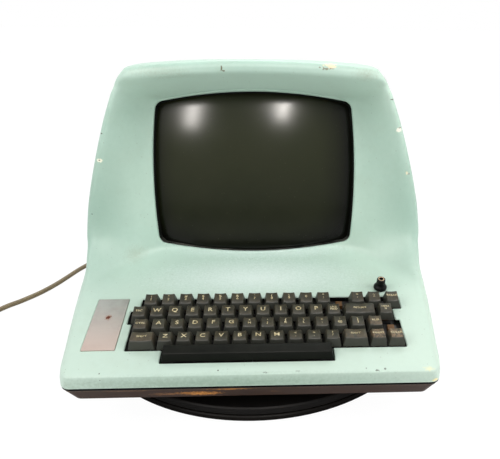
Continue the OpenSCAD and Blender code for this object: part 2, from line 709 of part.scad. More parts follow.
// Key cap: two crossed tapers with a finger dish, hollow below, on its square plunger
module wedge(base, top, low, high, long) {
    rotate([90, 0, 0]) linear_extrude(long, center = true) polygon([
        [-base / 2, low], [base / 2, low], [top / 2, high], [-top / 2, high]]);
}
module cap_body(w, d, tilt, wall) {
    taper_w = 5.65;
    taper_d = 4.85;
    difference() {
        intersection() {
            wedge(w - 2 * wall, w - taper_w - 2 * wall, cap_skirt, 2 - wall, d);
            rotate([0, 0, 90]) wedge(d - 2 * wall, d - taper_d - 2 * wall, cap_skirt, 2 - wall, w);
        }
        rotate([tilt, 0, 0]) translate([-w, -d, -wall]) cube([2 * w, 2 * d, 8]);
    }
}
module key_cap(w, row) {
    difference() {
        cap_body(w, cap_base, row_tilt[row], 0);
        translate([0, 0, -0.01]) cap_body(w, cap_base, row_tilt[row], 1.3);
        rotate([90 + row_tilt[row], 0, 0]) translate([0, 30 - 0.9, 0])
            cylinder(r = 30, h = 40, center = true);
    }
    stem(-1.2);
}
module keys(spots, tone) {
    color(tone) on_keys() for (k = spots)
        translate([key_x(k[0], k[1]), key_v(k[0]), 0]) key_cap(k[2] * key_pitch - key_gap, k[0]);
}
module space_bar() {
    color(charcoal) on_keys() translate([space_x, key_v(5), 0]) {
        len_top = space_len * key_pitch - key_gap;
        intersection() {
            rotate([90, 0, 90]) linear_extrude(len_top, center = true) polygon([
                [bar_front, cap_skirt], [bar_back, cap_skirt], [bar_back - 1.7, -1.6],
                [bar_back - 3.7, -0.5], [bar_back - 6.2, 0], [bar_front + 5.6, -0.2],
                [bar_front + 3.3, -1], [bar_front + 1.8, -2.5]]);
            wedge(len_top, len_top - 5, cap_skirt, 0.5, 20);
        }
        stem(-2);
    }
}

module case_screws() {
    color(steel) for (x = [-1, 1]) translate([x * case_screw_x, case_screw_y, tray_z - 2.35]) {
        rotate_extrude() polygon([[0, 0], [2.6, 0], [4.2, 1.2], [4.2, 2.3], [0, 2.3]]);
        cylinder(r = case_screw_r, h = 15);
    }
}

module knuckle(x, len) {
    translate([x - len / 2, hinge_y, hinge_z]) rotate([0, 90, 0]) cylinder(r = knuckle_r, h = len);
}
module pin_bore(x) {
    translate([x - 30, hinge_y, hinge_z]) rotate([0, 90, 0]) cylinder(r = hinge_pin_r + run_fit, h = 60);
}
module hinge_leaves_tray() {
    low = parting_z - 6.6;
    high = parting_z - 2.2;
    color(steel) for (s = [-1, 1]) difference() {
        for (e = [-1, 1]) {
            knuckle(s * hinge_x + e * (knuckle_len + 0.4), knuckle_len - 0.4);
            translate([s * hinge_x + e * (knuckle_len + 0.4) - knuckle_len / 2 + 0.2, 0, 0])
                rotate([90, 0, 90]) linear_extrude(knuckle_len - 0.4) polygon([
                    [hinge_y - 1, hinge_z], [hinge_y + knuckle_r - 0.6, hinge_z - 1.5], [hinge_y + 1, low],
                    [tray_back(low) + 0.05, low], [tray_back(high) + 0.05, high],
                    [hinge_y - knuckle_r + 0.4, hinge_z - 1.2]]);
        }
        pin_bore(s * hinge_x);
    }
}
module hinge_leaves_shell() {
    color(steel) for (s = [-1, 1]) difference() {
        union() {
            knuckle(s * hinge_x, knuckle_len);
            translate([s * hinge_x - knuckle_len / 2, rear_reach + 0.05, hinge_z + 1])
                cube([knuckle_len, 2.2, 22]);
        }
        pin_bore(s * hinge_x);
    }
}
module hinge_pins() {
    color(steel) for (s = [-1, 1]) translate([s * hinge_x - 25, hinge_y, hinge_z]) rotate([0, 90, 0])
        cylinder(r = hinge_pin_r, h = 50);
}

module upper_shell() {
    color(mint) resize([2 * half_w, 0, 0]) difference() {
        union() {
            difference() {
                skin();
                hollow();
            }
            intersection() {
                skin();
                union() {
                    at_screen_middle() for (sx = [-1, 1]) for (sy = [-1, 1])
                        translate([sx * ear_x, sy * ear_y, ear_n + 2.1]) cylinder(r = 6, h = 70, $fn = 20);
                    for (y = monitor_fix_y) for (z = monitor_fix_z)
                        translate([monitor_x + 1.65, y, z]) rotate([0, 90, 0])
                            cylinder(r = 4, h = 60, $fn = 16);
                }
            }
            for (x = [-1, 1]) translate([x * case_screw_x, case_screw_y, floor_z + 0.1])
                cylinder(r = 4, h = deck_z + (case_screw_y - row_y) * deck_rise - 1.8 - floor_z, $fn = 20);
        }
        for (x = [-1, 1]) translate([x * case_screw_x, case_screw_y, floor_z])
            cylinder(r = case_screw_r + 0.8, h = 14, $fn = 16);
        at_screen_middle() translate([0, 0, -30]) linear_extrude(80) screen_shape(0);
        on_keys() translate([0, 0, -60]) linear_extrude(80) polygon(opening_points);
        on_keys() translate([plate_x, plate_v, -key_rise]) {
            translate([-plate_w / 2 - 0.4, -plate_d / 2 - 0.4, -plate_sink])
                cube([plate_w + 0.8, plate_d + 0.8, 20]);
            translate([-plate_w / 2 + 5, -plate_d / 2 + 5, -12]) cube([plate_w - 10, plate_d - 10, 30]);
        }
        on_keys() translate([knob_x, knob_v, -40]) cylinder(r = bush_r + 0.5, h = 50, $fn = 24);
        at_screen_middle() for (sx = [-1, 1]) for (sy = [-1, 1])
            translate([sx * ear_x, sy * ear_y, ear_n]) cylinder(r = tube_screw_r + 0.2, h = 14, $fn = 16);
        for (i = [-6:6]) translate([i * 16 - 2.5, 150, 130]) cube([5, 100, 70]);
    }
}

module cover_plate() {
    color(steel) on_keys() translate([plate_x, plate_v, -key_rise - plate_sink + 0.05])
        translate([-plate_w / 2, -plate_d / 2, 0]) cube([plate_w, plate_d, plate_t]);
}

module contrast_pot() {
    color(steel) on_keys() translate([knob_x, knob_v, 0]) difference() {
        union() {
            translate([0, 0, -key_rise - shell_wall - 12]) cylinder(r = 8.5, h = 11.5);
            translate([0, 0, -key_rise - shell_wall - 2]) cylinder(r = bush_r, h = shell_wall + 3);
        }
        translate([0, 0, -key_rise - shell_wall - 8]) cylinder(r = shaft_r + run_fit, h = 30);
    }
}
module contrast_knob() {
    color(black) on_keys() translate([knob_x, knob_v, -key_rise]) {
        difference() {
            rotate_extrude() polygon([[0, 1.4], [knob_r, 1.4], [knob_r, 3.4], [knob_r - 0.5, 4.6],
                [knob_r - 2.1, 6.8], [knob_r - 2.7, 8.4], [knob_r - 2.9, knob_h - 0.7],
                [knob_r - 3.4, knob_h], [0, knob_h]]);
            translate([0, 0, -1]) cylinder(r = bush_r + 0.6, h = 4.5);
            translate([0, 0, knob_h - 1]) cylinder(r = 2, h = 4);
        }
        translate([0, 0, -shell_wall - 6]) cylinder(r = shaft_r, h = shell_wall + 12);
    }
}

module face_ball(grow) {
    translate([0, 0, panel_n + 16 - face_r]) sphere(r = face_r + grow, $fn = 360);
}
module panel_shape(margin) {
    polygon(squircle(panel_half_w + margin, panel_half_h + margin, 9, 64));
}
module screen_gasket() {
    color(black) at_screen_middle() difference() {
        translate([0, 0, -22]) linear_extrude(17.6) difference() {
            screen_shape(7);
            screen_shape(-2.4);
        }
        intersection() {
            translate([0, 0, -60]) linear_extrude(100) screen_shape(20);
            face_ball(0.15);
        }
    }
}

function squircle(a, b, p, n) = [for (i = [0:n - 1]) let (t = 360 * i / n, c = cos(t), s = sin(t))
    [a * sign(c) * pow(abs(c), 2 / p), b * sign(s) * pow(abs(s), 2 / p)]];
function glass_ring(f) = let (
    depth = tube_len + panel_n,
    a = mix(panel_half_w - 2, neck_r - 0.6, pow(f, 0.75)),
    b = mix(panel_half_h - 2, neck_r - 0.6, pow(f, 0.85)),
    z = panel_n - 24 - (depth - 85) * f, p = mix(9, 2, pow(f, 0.5))
    ) [for (q = squircle(a, b, p, 40)) [q.x, q.y, z]];
module picture_tube() {
    color("#2c2e2a") at_screen_middle() {
        intersection() {
            translate([0, 0, panel_n - 26]) linear_extrude(60) panel_shape(0);
            face_ball(0);
        }
        loft([for (i = [10:-1:0]) glass_ring(i / 10)]);
        translate([0, 0, -tube_len]) cylinder(r = neck_r, h = 100);
    }
}
module tube_band() {
    color(steel) at_screen_middle() difference() {
        union() {
            translate([0, 0, ear_n - 8]) linear_extrude(12) panel_shape(1.6);
            for (sx = [-1, 1]) for (sy = [-1, 1])
                translate([sx * ear_x, sy * ear_y, ear_n]) linear_extrude(2) {
                    circle(r = 9);
                    rotate(atan2(-sy * 3, -sx * 5)) translate([0, -7.5]) square([26, 15]);
                }
        }
        translate([0, 0, ear_n - 20]) linear_extrude(60) panel_shape(0.1);
        for (sx = [-1, 1]) for (sy = [-1, 1])
            translate([sx * ear_x, sy * ear_y, ear_n - 1]) cylinder(r = tube_screw_r + 0.3, h = 4);
    }
}
module tube_screws() {
    color(steel) at_screen_middle() for (sx = [-1, 1]) for (sy = [-1, 1])
        translate([sx * ear_x, sy * ear_y, ear_n]) {
            translate([0, 0, -2.2]) cylinder(r = 4, h = 2.1);
            translate([0, 0, -2]) cylinder(r = tube_screw_r, h = 13);
        }
}
yoke_n = -136;
module deflection_yoke() {
    color("#8a4a22") at_screen_middle() translate([0, 0, yoke_n]) {
        rotate_extrude() polygon([[34.9, 0], [47, 0], [48, -3], [44, -6], [36, -18], [33, -30],
            [36, -36], [37, -46], [34, -49], [neck_r + 0.7, -49], [neck_r + 0.7, -25.3]]);
        rotate_extrude() polygon([[neck_r + 0.5, -58], [26, -58], [26, -56.4], [neck_r + 0.5, -56.4]]);
        rotate_extrude() polygon([[neck_r + 0.5, -54.5], [26, -54.5], [26, -53], [neck_r + 0.5, -53]]);
        translate([-3, 24, -58]) cube([6, 9, 1.6]);
    }
}
module neck_socket() {
    color(black) at_screen_middle() translate([0, 0, -tube_len - 8]) {
        difference() {
            cylinder(r = 16, h = 7.9);
            for (i = [0:6]) rotate(i * 40) translate([9, 0, 4]) cylinder(r = 0.9, h = 5, $fn = 16);
        }
        translate([-13, -19, 2]) cube([26, 38, 1.6]);
    }
}

// Monitor electronics, upright beside the tube
monitor_x = 145;
monitor_y = 22;
monitor_z = 216;
monitor_fix_y = [monitor_y + 6, monitor_y + 64];
monitor_fix_z = [monitor_z + 6, monitor_z + 66];
module monitor_board() {
    translate([monitor_x, monitor_y, monitor_z]) {
        color("#8c6b3a") cube([1.6, 70, 72]);
        color("#35507a") for (p = [[12, 14, 5], [12, 30, 4], [26, 12, 6], [40, 10, 4]])
            translate([0.1, p[0], p[1]]) rotate([0, -90, 0]) cylinder(r = p[2], h = 15);
        color(black) for (y = [50, 60]) translate([-6, y, 6]) cube([6.1, 5, 12]);
    }
}
module flyback() {
    color(black) translate([monitor_x - 0.05, monitor_y + 42, monitor_z + 44]) {
        translate([-25, -20, -16]) difference() {
            cube([25, 40, 36]);
            translate([-1, 8, 8]) cube([27, 24, 20]);
        }
        translate([-12.5, 0, -8.2]) cylinder(r = 11.6, h = 20.4);
        translate([-36, 8, -4]) rotate([0, 90, 0]) cylinder(r = 4, h = 12);
    }
}

swivel_base();
bearing_ring();
swivel_top();
rubber_feet();
base_tray();
rear_panel();
switch_housing();
power_switch();
fuse_holder();
data_connectors();
strain_relief();
power_transformer();
capacitors();
heat_sink();
beeper();
logic_board();
logic_chips();
option_switches();
key_switches();
case_screws();
hinge_leaves_tray();
hinge_pins();
hinge_leaves_shell();
upper_shell();
cover_plate();
contrast_pot();
contrast_knob();
screen_gasket();
picture_tube();
tube_band();
tube_screws();
deflection_yoke();
neck_socket();
monitor_board();
flyback();
power_cord();
cord_coil();
plug();
bare_plungers();
keys(digits_left, charcoal);  // digit_keys_left
keys(digits_right, charcoal);  // digit_keys_right
keys(row_ends, charcoal);  // number_row_end_keys
keys(top_left, charcoal);  // top_letters_left
keys(top_right, charcoal);  // top_letters_right
keys(home_left, charcoal);  // home_letters_left
keys(home_right, charcoal);  // home_letters_right
keys(bottom_left, charcoal);  // bottom_letters_left
keys(bottom_right, charcoal);  // bottom_letters_right
keys(break_spot, charcoal);  // break_key
keys(escape_spot, charcoal);  // escape_key
keys(line_feed_spot, charcoal);  // line_feed_key
keys(return_spot, charcoal);  // return_key
keys(here_spot, charcoal);  // here_key
keys(control_spot, charcoal);  // control_key
keys(rubout_spot, charcoal);  // rubout_key
keys(shift_left_spot, charcoal);  // shift_left_key
keys(shift_right_spot, charcoal);  // shift_right_key
keys(repeat_spot, charcoal);  // repeat_key
keys(clear_spot, charcoal);  // clear_key
space_bar();
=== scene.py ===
"""Desktop computer terminal: hooded mint housing, sculpted keyboard, picture tube, swivel base.
Shapes are worked out in millimetres and scaled to metres as each piece is finished."""
import random
from math import atan2, copysign, cos, exp, pi, radians, sin, sqrt, tan

import bmesh
import bpy
from mathutils import Matrix, Vector


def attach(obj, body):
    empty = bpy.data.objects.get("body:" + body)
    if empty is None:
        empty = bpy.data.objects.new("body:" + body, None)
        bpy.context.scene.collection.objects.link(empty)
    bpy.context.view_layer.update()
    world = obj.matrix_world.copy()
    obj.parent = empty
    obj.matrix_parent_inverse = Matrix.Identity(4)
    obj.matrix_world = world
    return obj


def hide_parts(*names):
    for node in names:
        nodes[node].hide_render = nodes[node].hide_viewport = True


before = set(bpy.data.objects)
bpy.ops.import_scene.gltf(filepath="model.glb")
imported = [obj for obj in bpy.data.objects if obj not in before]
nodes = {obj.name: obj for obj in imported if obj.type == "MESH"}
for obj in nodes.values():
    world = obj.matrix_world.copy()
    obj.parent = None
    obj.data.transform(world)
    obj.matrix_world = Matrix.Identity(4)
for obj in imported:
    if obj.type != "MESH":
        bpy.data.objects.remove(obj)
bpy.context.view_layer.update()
scene = bpy.context.scene

# Sizes of the housing, as in the part's source
HALF_W, FRONT_Y, REAR_Y, TOP_Z, PARTING_Z = 204.5, -237.0, 229.0, 358.5, 62.0
ROW_Y, ROW_Z, KEY_RISE, WALL = FRONT_Y + 93.5, PARTING_Z + 49, 12.0, 4.0
DECK_Z = ROW_Z - KEY_RISE
SILL_Y, SILL_Z = ROW_Y + 98.5, ROW_Z + 18
DECK_SLOPE, SCREEN_TILT = radians(14), radians(13)
OPEN_W, OPEN_H = 123.7, 97.0
PITCH, KEY_GAP, SKIRT = 19.05, 1.6, -11.0
DECK_RISE = tan(DECK_SLOPE)
BAR_FRONT, KNOB_X, KNOB_V = -6.0, 147.3, 25.0
SILL_TOP_Z = SILL_Z + 2 * OPEN_H * cos(SCREEN_TILT)

on_keys = Matrix.Translation((0, ROW_Y, ROW_Z)) @ Matrix.Rotation(DECK_SLOPE, 4, "X")
on_screen = (Matrix.Translation((0, SILL_Y, SILL_Z)) @ Matrix.Rotation(pi / 2 - SCREEN_TILT, 4, "X")
             @ Matrix.Translation((0, OPEN_H - 1, 0)))


def tuned(thing, **values):
    """Sets values on a thing and gives it back."""
    for name, value in values.items():
        setattr(thing, name, value)
    return thing


def show(name, data):
    """A new object in the scene."""
    obj = bpy.data.objects.new(name, data)
    scene.collection.objects.link(obj)
    return obj


def aim_camera():
    """Camera fitted to the key legends in the photograph."""
    lens = tuned(bpy.data.cameras.new("camera"), sensor_width=36, lens=39.278, shift_x=-0.0838)
    camera = show("camera", lens)
    right = (0.99906, -0.04255, 0.00797)
    down = (-0.0077, -0.35579, -0.93453)
    ahead = (0.0426, 0.9336, -0.35578)
    place = (0.0170109, -0.686587, 0.398037)
    rows = [(right[i], -down[i], -ahead[i], place[i]) for i in range(3)]
    camera.matrix_world = Matrix(rows + [(0, 0, 0, 1)])
    scene.camera = camera


aim_camera()


class Nodes:
    """Adds nodes to one tree. Textures lie on its place, a position in metres."""

    def __init__(self, tree, place=None):
        self.tree, self.place = tree, place

    def put(self, kind, values=(), **settings):
        """Adds a shader node; values go to its sockets by name or number, as a number, colour or socket."""
        node = tuned(self.tree.nodes.new("ShaderNode" + kind), **settings)
        for socket, value in dict(values).items():
            if isinstance(value, bpy.types.NodeSocket):
                self.tree.links.new(value, node.inputs[socket])
            else:
                node.inputs[socket].default_value = value
        return node

    def calc(self, operation, a, b=0.0, clamp=False):
        return self.put("Math", {0: a, 1: b}, operation=operation, use_clamp=clamp).outputs[0]

    def times(self, product, *values):
        for value in values:
            product = self.calc("MULTIPLY", product, value)
        return product

    def vector(self, operation, a, b=(0, 0, 0), output=0):
        return self.put("VectorMath", {0: a, 1: b}, operation=operation).outputs[output]

    def axis(self, number, vector=None):
        return self.put("SeparateXYZ", {0: vector or self.place}).outputs[number]

    def spread(self, value, low, high, to_low=0.0, to_high=1.0):
        return self.put("MapRange", {0: value, 1: low, 2: high, 3: to_low, 4: to_high}).outputs[0]

    def noise(self, scale, detail=3.0, rough=0.55, place=None):
        return self.put("TexNoise", {"Vector": place or self.place, "Scale": scale, "Detail": detail,
                        "Roughness": rough}).outputs["Fac"]

    def blend(self, share, first, second):
        return self.put("Mix", {0: share, 6: first, 7: second}, data_type="RGBA").outputs[2]

    def use(self, effect, **values):
        return self.put("Group", {"Position": self.place, **values}, node_tree=effect).outputs[0]


def group(name, output, fill, **inputs):
    """A node group that turns a position and further inputs into one number."""
    tree = bpy.data.node_groups.new(name, "ShaderNodeTree")
    for label, value in {"Position": (0.0, 0.0, 0.0), **inputs}.items():
        kind = "NodeSocketVector" if isinstance(value, tuple) else "NodeSocketFloat"
        socket = tree.interface.new_socket(label, in_out="INPUT", socket_type=kind)
        socket.default_value = value
    tree.interface.new_socket(output, in_out="OUTPUT", socket_type="NodeSocketFloat")
    given = tree.nodes.new("NodeGroupInput").outputs
    result = fill(Nodes(tree, given["Position"]), given)
    tree.links.new(result, tree.nodes.new("NodeGroupOutput").inputs[0])
    return tree


def fill_wear_and_painted_light_spot(t, given):
    """Patch of a given size round a centre, torn by a noise that many patches share."""
    away = t.vector("DIVIDE", t.vector("SUBTRACT", t.place, given["Centre"]), given["Size"])
    torn = t.times(t.calc("SUBTRACT", given["Torn"], 0.5), 3.0, given["Ragged"])
    edge = t.calc("ADD", t.vector("LENGTH", away, output="Value"), torn)
    return t.calc("DIVIDE", t.calc("SUBTRACT", 0.95, edge), given["Soft"], clamp=True)


def fill_mottling(t, given):
    """Slow and fine unevenness of a moulded or painted surface, about 0.5."""
    slow, fine = t.noise(given["Coarse"], 3.0), t.noise(given["Fine"], 4.0)
    return t.calc("ADD", t.times(slow, 0.65), t.times(fine, 0.35))


def fill_specks(t, given):
    """Sparse small specks of dirt, 1 inside a speck."""
    cell = t.put("TexVoronoi", {"Vector": t.place, "Scale": given["Scale"]}).outputs
    hue = t.put("SeparateColor", {0: cell["Color"]}).outputs[0]
    return t.times(t.spread(cell["Distance"], 0.2, 0.08), t.calc("LESS_THAN", hue, given["Share"]))


def fill_grain(t, given):
    """Height of a fine moulded texture, in parts of one."""
    wide = t.noise(t.times(given["Scale"], 0.12), 1.0)
    return t.calc("ADD", t.times(t.noise(given["Scale"], 2.0, 0.5), 0.6), t.times(wide, 0.4))


def fill_scratches(t, given):
    """Thin scratches along the stretched direction, 1 on a scratch."""
    streak = t.noise(1.0, 3.0, 0.6, t.vector("MULTIPLY", t.place, given["Stretch"]))
    patch = t.calc("SUBTRACT", t.noise(30.0, 2.0), 0.5)
    limit = t.calc("SUBTRACT", 0.78, given["Share"])
    above = t.calc("SUBTRACT", t.calc("ADD", streak, t.times(patch, 0.5)), limit)
    return t.calc("MULTIPLY", above, 14.0, clamp=True)


def fill_dust(t, given):
    """Dust on what faces up, 1 where it lies thick."""
    lying = t.spread(t.axis(2, t.put("NewGeometry").outputs["Normal"]), 0.35, 0.95)
    return t.times(lying, t.spread(t.noise(45.0, 5.0, 0.65), 0.35, 0.75), given["Amount"])


def fill_edge_wear_and_painted_highlight(t, given):
    """Edges rubbed by handling, and on the key caps a painted highlight, 1 on the edge."""
    turned = t.put("Bevel", {"Radius": given["Radius"]}, samples=4).outputs[0]
    agree = t.vector("DOT_PRODUCT", turned, t.put("NewGeometry").outputs["Normal"], "Value")
    return t.times(t.spread(agree, 0.985, 0.88), t.spread(t.noise(130.0, 4.0), 0.62, 0.42), given["Share"])


WEAR_AND_PAINTED_LIGHT_SPOT = group("wear and painted light spot", "Mask", fill_wear_and_painted_light_spot, Centre=(0.0, 0.0, 0.0), Size=(0.01, 0.01, 0.01),
                  Ragged=0.5, Torn=0.5, Soft=0.2)
MOTTLING = group("mottling", "Value", fill_mottling, Coarse=9.0, Fine=160.0)
SPECKS = group("specks", "Mask", fill_specks, Scale=260.0, Share=0.2)
GRAIN = group("moulded grain", "Height", fill_grain, Scale=900.0)
SCRATCHES = group("scratches", "Mask", fill_scratches, Stretch=(40.0, 400.0, 400.0), Share=0.1)
SETTLED_DUST = group("settled dust", "Mask", fill_dust, Amount=0.3)
EDGE_WEAR_AND_PAINTED_HIGHLIGHT = group("edge wear and painted highlight", "Mask", fill_edge_wear_and_painted_highlight, Radius=0.0008, Share=0.5)


def linear(red, green, blue, share=1.0):
    """A colour seen in the photograph, 0 to 255, as the shader takes it, made lighter or darker."""
    def one(v):
        v /= 255
        return min(1.0, share * (v / 12.92 if v <= 0.04045 else ((v + 0.055) / 1.055) ** 2.4))
    return (one(red), one(green), one(blue), 1.0)


class Finish(Nodes):
    """A material whose colour is laid on in layers."""

    def __init__(self, name, metallic=0.0, specular=0.5, coat=0.0):
        self.made = bpy.data.materials.new(name)
        self.made.use_nodes = True
        tree = self.made.node_tree
        super().__init__(tree, tree.nodes.new("ShaderNodeTexCoord").outputs["Object"])
        self.shader = tree.nodes["Principled BSDF"].inputs
        self.shader["Metallic"].default_value = metallic
        self.shader["Specular IOR Level"].default_value = specular
        self.shader["Coat Weight"].default_value = coat
        self.shader["Coat Roughness"].default_value = 0.1

    def start(self, coarse, fine, dark, light):
        """The ground colour, which wanders between two shader colours."""
        self.uneven = self.use(MOTTLING, Coarse=coarse, Fine=fine)
        self.shade = self.blend(self.wander(0.0, 1.0), dark, light)

    def wander(self, low, high):
        return self.spread(self.uneven, 0.3, 0.7, low, high)

    def layer(self, mask, share, *tone):
        """Lays a share of a tone over the colour so far, where the mask is 1."""
        self.shade = self.blend(self.times(mask, share), self.shade, linear(*tone))

    def spot(self, centre, size, ragged, soft, torn):
        """Mask of a spot, from millimetres: wear and rust, and on the housing also painted shade and painted
        sheen.
        """
        centre, size = (tuple(0.001 * c for c in corner) for corner in (centre, size))
        return self.use(WEAR_AND_PAINTED_LIGHT_SPOT, Centre=centre, Size=size, Ragged=ragged, Torn=torn, Soft=soft)

    def done(self, rough, height=None, depth=0.0):
        """Joins the colour, the roughness and a bump of some depth in metres to the shader."""
        self.tree.links.new(self.shade, self.shader["Base Color"])
        self.tree.links.new(rough, self.shader["Roughness"])
        if height is not None:
            bump = self.put("Bump", {"Height": height, "Distance": depth, "Strength": 1.0})
            self.tree.links.new(bump.outputs[0], self.shader["Normal"])
        return self.made


def plain_finish(name, colour, rough, grain=900.0, depth=0.00006, dust=0.15, dust_colour=(120, 112, 100),
                 vary=0.12, metallic=0.0, rub=0.0, scratch=0.0, coat=0.0, specular=0.5):
    """Moulded or painted surface: unevenness, grain, dust, rubbed edges and scratches."""
    f = Finish(name, metallic, specular, coat)
    f.start(14.0, 220.0, linear(*colour, 1 - vary), linear(*colour, 1 + vary))
    f.layer(f.use(SETTLED_DUST, Amount=dust), 1, *dust_colour)
    for effect, amount, share in ((EDGE_WEAR_AND_PAINTED_HIGHLIGHT, rub, 1), (SCRATCHES, scratch, 0.5)):
        if amount:
            f.layer(f.use(effect, Share=amount), share, 150, 140, 125)
    return f.done(f.wander(rough - 0.06, rough + 0.08), f.use(GRAIN, Scale=grain), depth)


# Wear seen on the housing, with patches of painted shade and painted sheen: centre and half sizes in
# millimetres, raggedness, softness, colour, strength
CREAM, CHIP, STAIN = (236, 224, 188), (98, 92, 60), (238, 226, 168)
GRIME, SOOT = (146, 152, 124), (60, 58, 44)
HOUSING_MARKS_AND_PAINTED_LIGHT = [
    ((-100, -50, 345), (46, 22, 9), 0.5, 0.9, GRIME, 0.35),
    ((128, -52, 343), (22, 20, 8), 0.5, 0.9, GRIME, 0.4),
    ((-148, -60, 128), (18, 30, 12), 0.5, 0.9, GRIME, 0.3),
    ((-60, -236, 66), (150, 8, 7), 0.8, 0.9, GRIME, 0.3),
    # Painted shade: the low flanks of the hood and the front of the lip, darker where less light falls.
    ((-190, -60, 176), (48, 90, 110), 0.05, 0.95, (134, 166, 149), 0.62),
    ((192, -60, 172), (46, 90, 104), 0.05, 0.95, (142, 173, 157), 0.52),
    ((-10, -240, 66), (260, 11, 15), 0.15, 0.9, (130, 160, 141), 0.85),
    # Painted sheen: near white patches that light up the deck and the sill.
    ((0, -96, 112), (150, 44, 26), 0.3, 0.9, (238, 250, 246), 0.6),
    ((10, -46, 126), (120, 20, 12), 0.3, 0.9, (232, 246, 242), 0.5),
    ((87, -60, 352.4), (8.4, 12, 3.4), 0.9, 0.3, CREAM, 0.95),
    ((82, -60, 350.2), (5.5, 12, 1.7), 1.6, 0.4, CHIP, 0.85),
    ((89, -60, 349.4), (4.5, 12, 0.9), 1.5, 0.4, CHIP, 0.7),
    ((-33.6, -57, 350.0), (1.1, 12, 3.4), 0.6, 0.3, CHIP, 0.95),
    ((-31.8, -56, 347.2), (3.4, 12, 1.2), 0.9, 0.4, CHIP, 0.9),
    ((-181.6, -51.4, 243.4), (4.4, 14, 3.0), 0.4, 0.3, (246, 244, 222), 1.0),
    ((-181.8, -51.4, 243.8), (1.6, 14, 0.8), 0.3, 0.3, SOOT, 0.95),
    ((-176.7, -46.6, 274.8), (2.0, 14, 0.8), 0.3, 0.3, SOOT, 0.95),
    ((-196.4, -56.6, 178.7), (1.1, 14, 1.1), 0.3, 0.4, SOOT, 0.7),
    ((162.4, -47, 314.2), (4.2, 16, 0.8), 0.4, 0.4, SOOT, 0.85),
    ((172.6, -49, 279.0), (4.4, 14, 3.0), 0.5, 0.3, (246, 244, 226), 1.0),
    ((173.6, -49, 281.6), (2.4, 14, 0.8), 0.5, 0.4, (150, 96, 76), 0.8),
    ((185.6, -52, 227.2), (1.8, 14, 2.2), 0.4, 0.3, CREAM, 0.9),
    ((188.2, -53, 226.0), (2.2, 14, 1.4), 0.5, 0.4, (150, 140, 128), 0.7),
    ((-148.8, -233.2, 76.9), (1.0, 1.3, 1.5), 0.3, 0.4, SOOT, 0.7),
    ((-147.6, -237, 71.6), (0.8, 1.5, 0.8), 0.3, 0.4, SOOT, 0.6),
    ((-33.8, -231.8, 77.0), (0.9, 1.3, 1.5), 0.3, 0.4, SOOT, 0.85),
    ((13, -235.2, 76.0), (3.2, 1.4, 1.0), 0.9, 0.5, SOOT, 0.6),
    ((45, -234.6, 76.4), (3.4, 1.4, 1.0), 0.9, 0.5, SOOT, 0.35),
    ((113, -232.5, 77.0), (0.8, 1.2, 1.4), 0.3, 0.4, SOOT, 0.6),
    ((123.5, -235.4, 76.0), (2.4, 1.3, 0.8), 1.6, 0.4, SOOT, 0.7),
    ((131.5, -233.4, 76.6), (1.5, 1.6, 1.3), 1.5, 0.4, SOOT, 0.7),
    ((175.5, -234.6, 76.4), (6.4, 4.4, 3.0), 0.7, 0.7, STAIN, 0.45),
    ((183, -235.8, 64.0), (5.0, 4.0, 1.9), 0.4, 0.4, STAIN, 0.9),
]
# Scuffs on the front of the tray: centre and half sizes in millimetres, streak limit, colour, strength
SCUFFS = [
    ((-55, -230, 48), (27, 9, 5.4), 0.4, (206, 138, 66), 1.0),
    ((-88, -230, 48), (20, 9, 4.2), 0.48, (140, 98, 62), 0.95),
    ((-25, -233, 57), (30, 9, 2.4), 0.4, (186, 128, 66), 0.85),
    ((-184, -226, 58), (9, 12, 2.2), 0.4, (214, 168, 82), 0.9),
    ((22, -230, 50), (9, 9, 3.0), 0.54, (150, 110, 70), 0.6),
    ((-120, -233, 57), (34, 9, 1.6), 0.5, (160, 120, 80), 0.6),
]


def mint_plastic():
    """Moulded housing: paler low down and on the brow as painted light, with a film of dirt, its wear, and
    painted shade and painted sheen among its marks.
    """
    f = Finish("mint housing", specular=0.4)
    f.start(7.0, 170.0, linear(170, 201, 186), linear(184, 212, 198))
    height = f.axis(2)
    f.layer(f.spread(f.noise(3.2, 2.0), 0.35, 0.7), 0.4, 186, 206, 184)
    # Painted light: the housing is paler low down, over the lip and the deck.
    f.layer(f.spread(height, 0.15, 0.085), 0.5, 206, 220, 208)
    # Painted light: a paler band on the brow, the hood's inner top, which faces down.
    brow = f.times(f.spread(height, 0.298, 0.325), f.spread(height, 0.3505, 0.346))
    f.layer(brow, 0.5, 206, 230, 215)
    f.layer(f.spread(f.noise(26.0, 6.0, 0.7), 0.5, 0.8), 0.16, 160, 170, 146)
    f.layer(f.use(SPECKS, Scale=240.0, Share=0.16), 0.3, 110, 112, 92)
    torn = f.noise(420.0, 4.0)
    for centre, size, ragged, soft, tone, share in HOUSING_MARKS_AND_PAINTED_LIGHT:
        f.layer(f.spot(centre, size, ragged, soft, torn), share, *tone)
    return f.done(f.wander(0.38, 0.48), f.use(GRAIN, Scale=700.0), 0.00007)


CAP_LAYERS = ("cap_shade", "cap_top", "cap_wear")


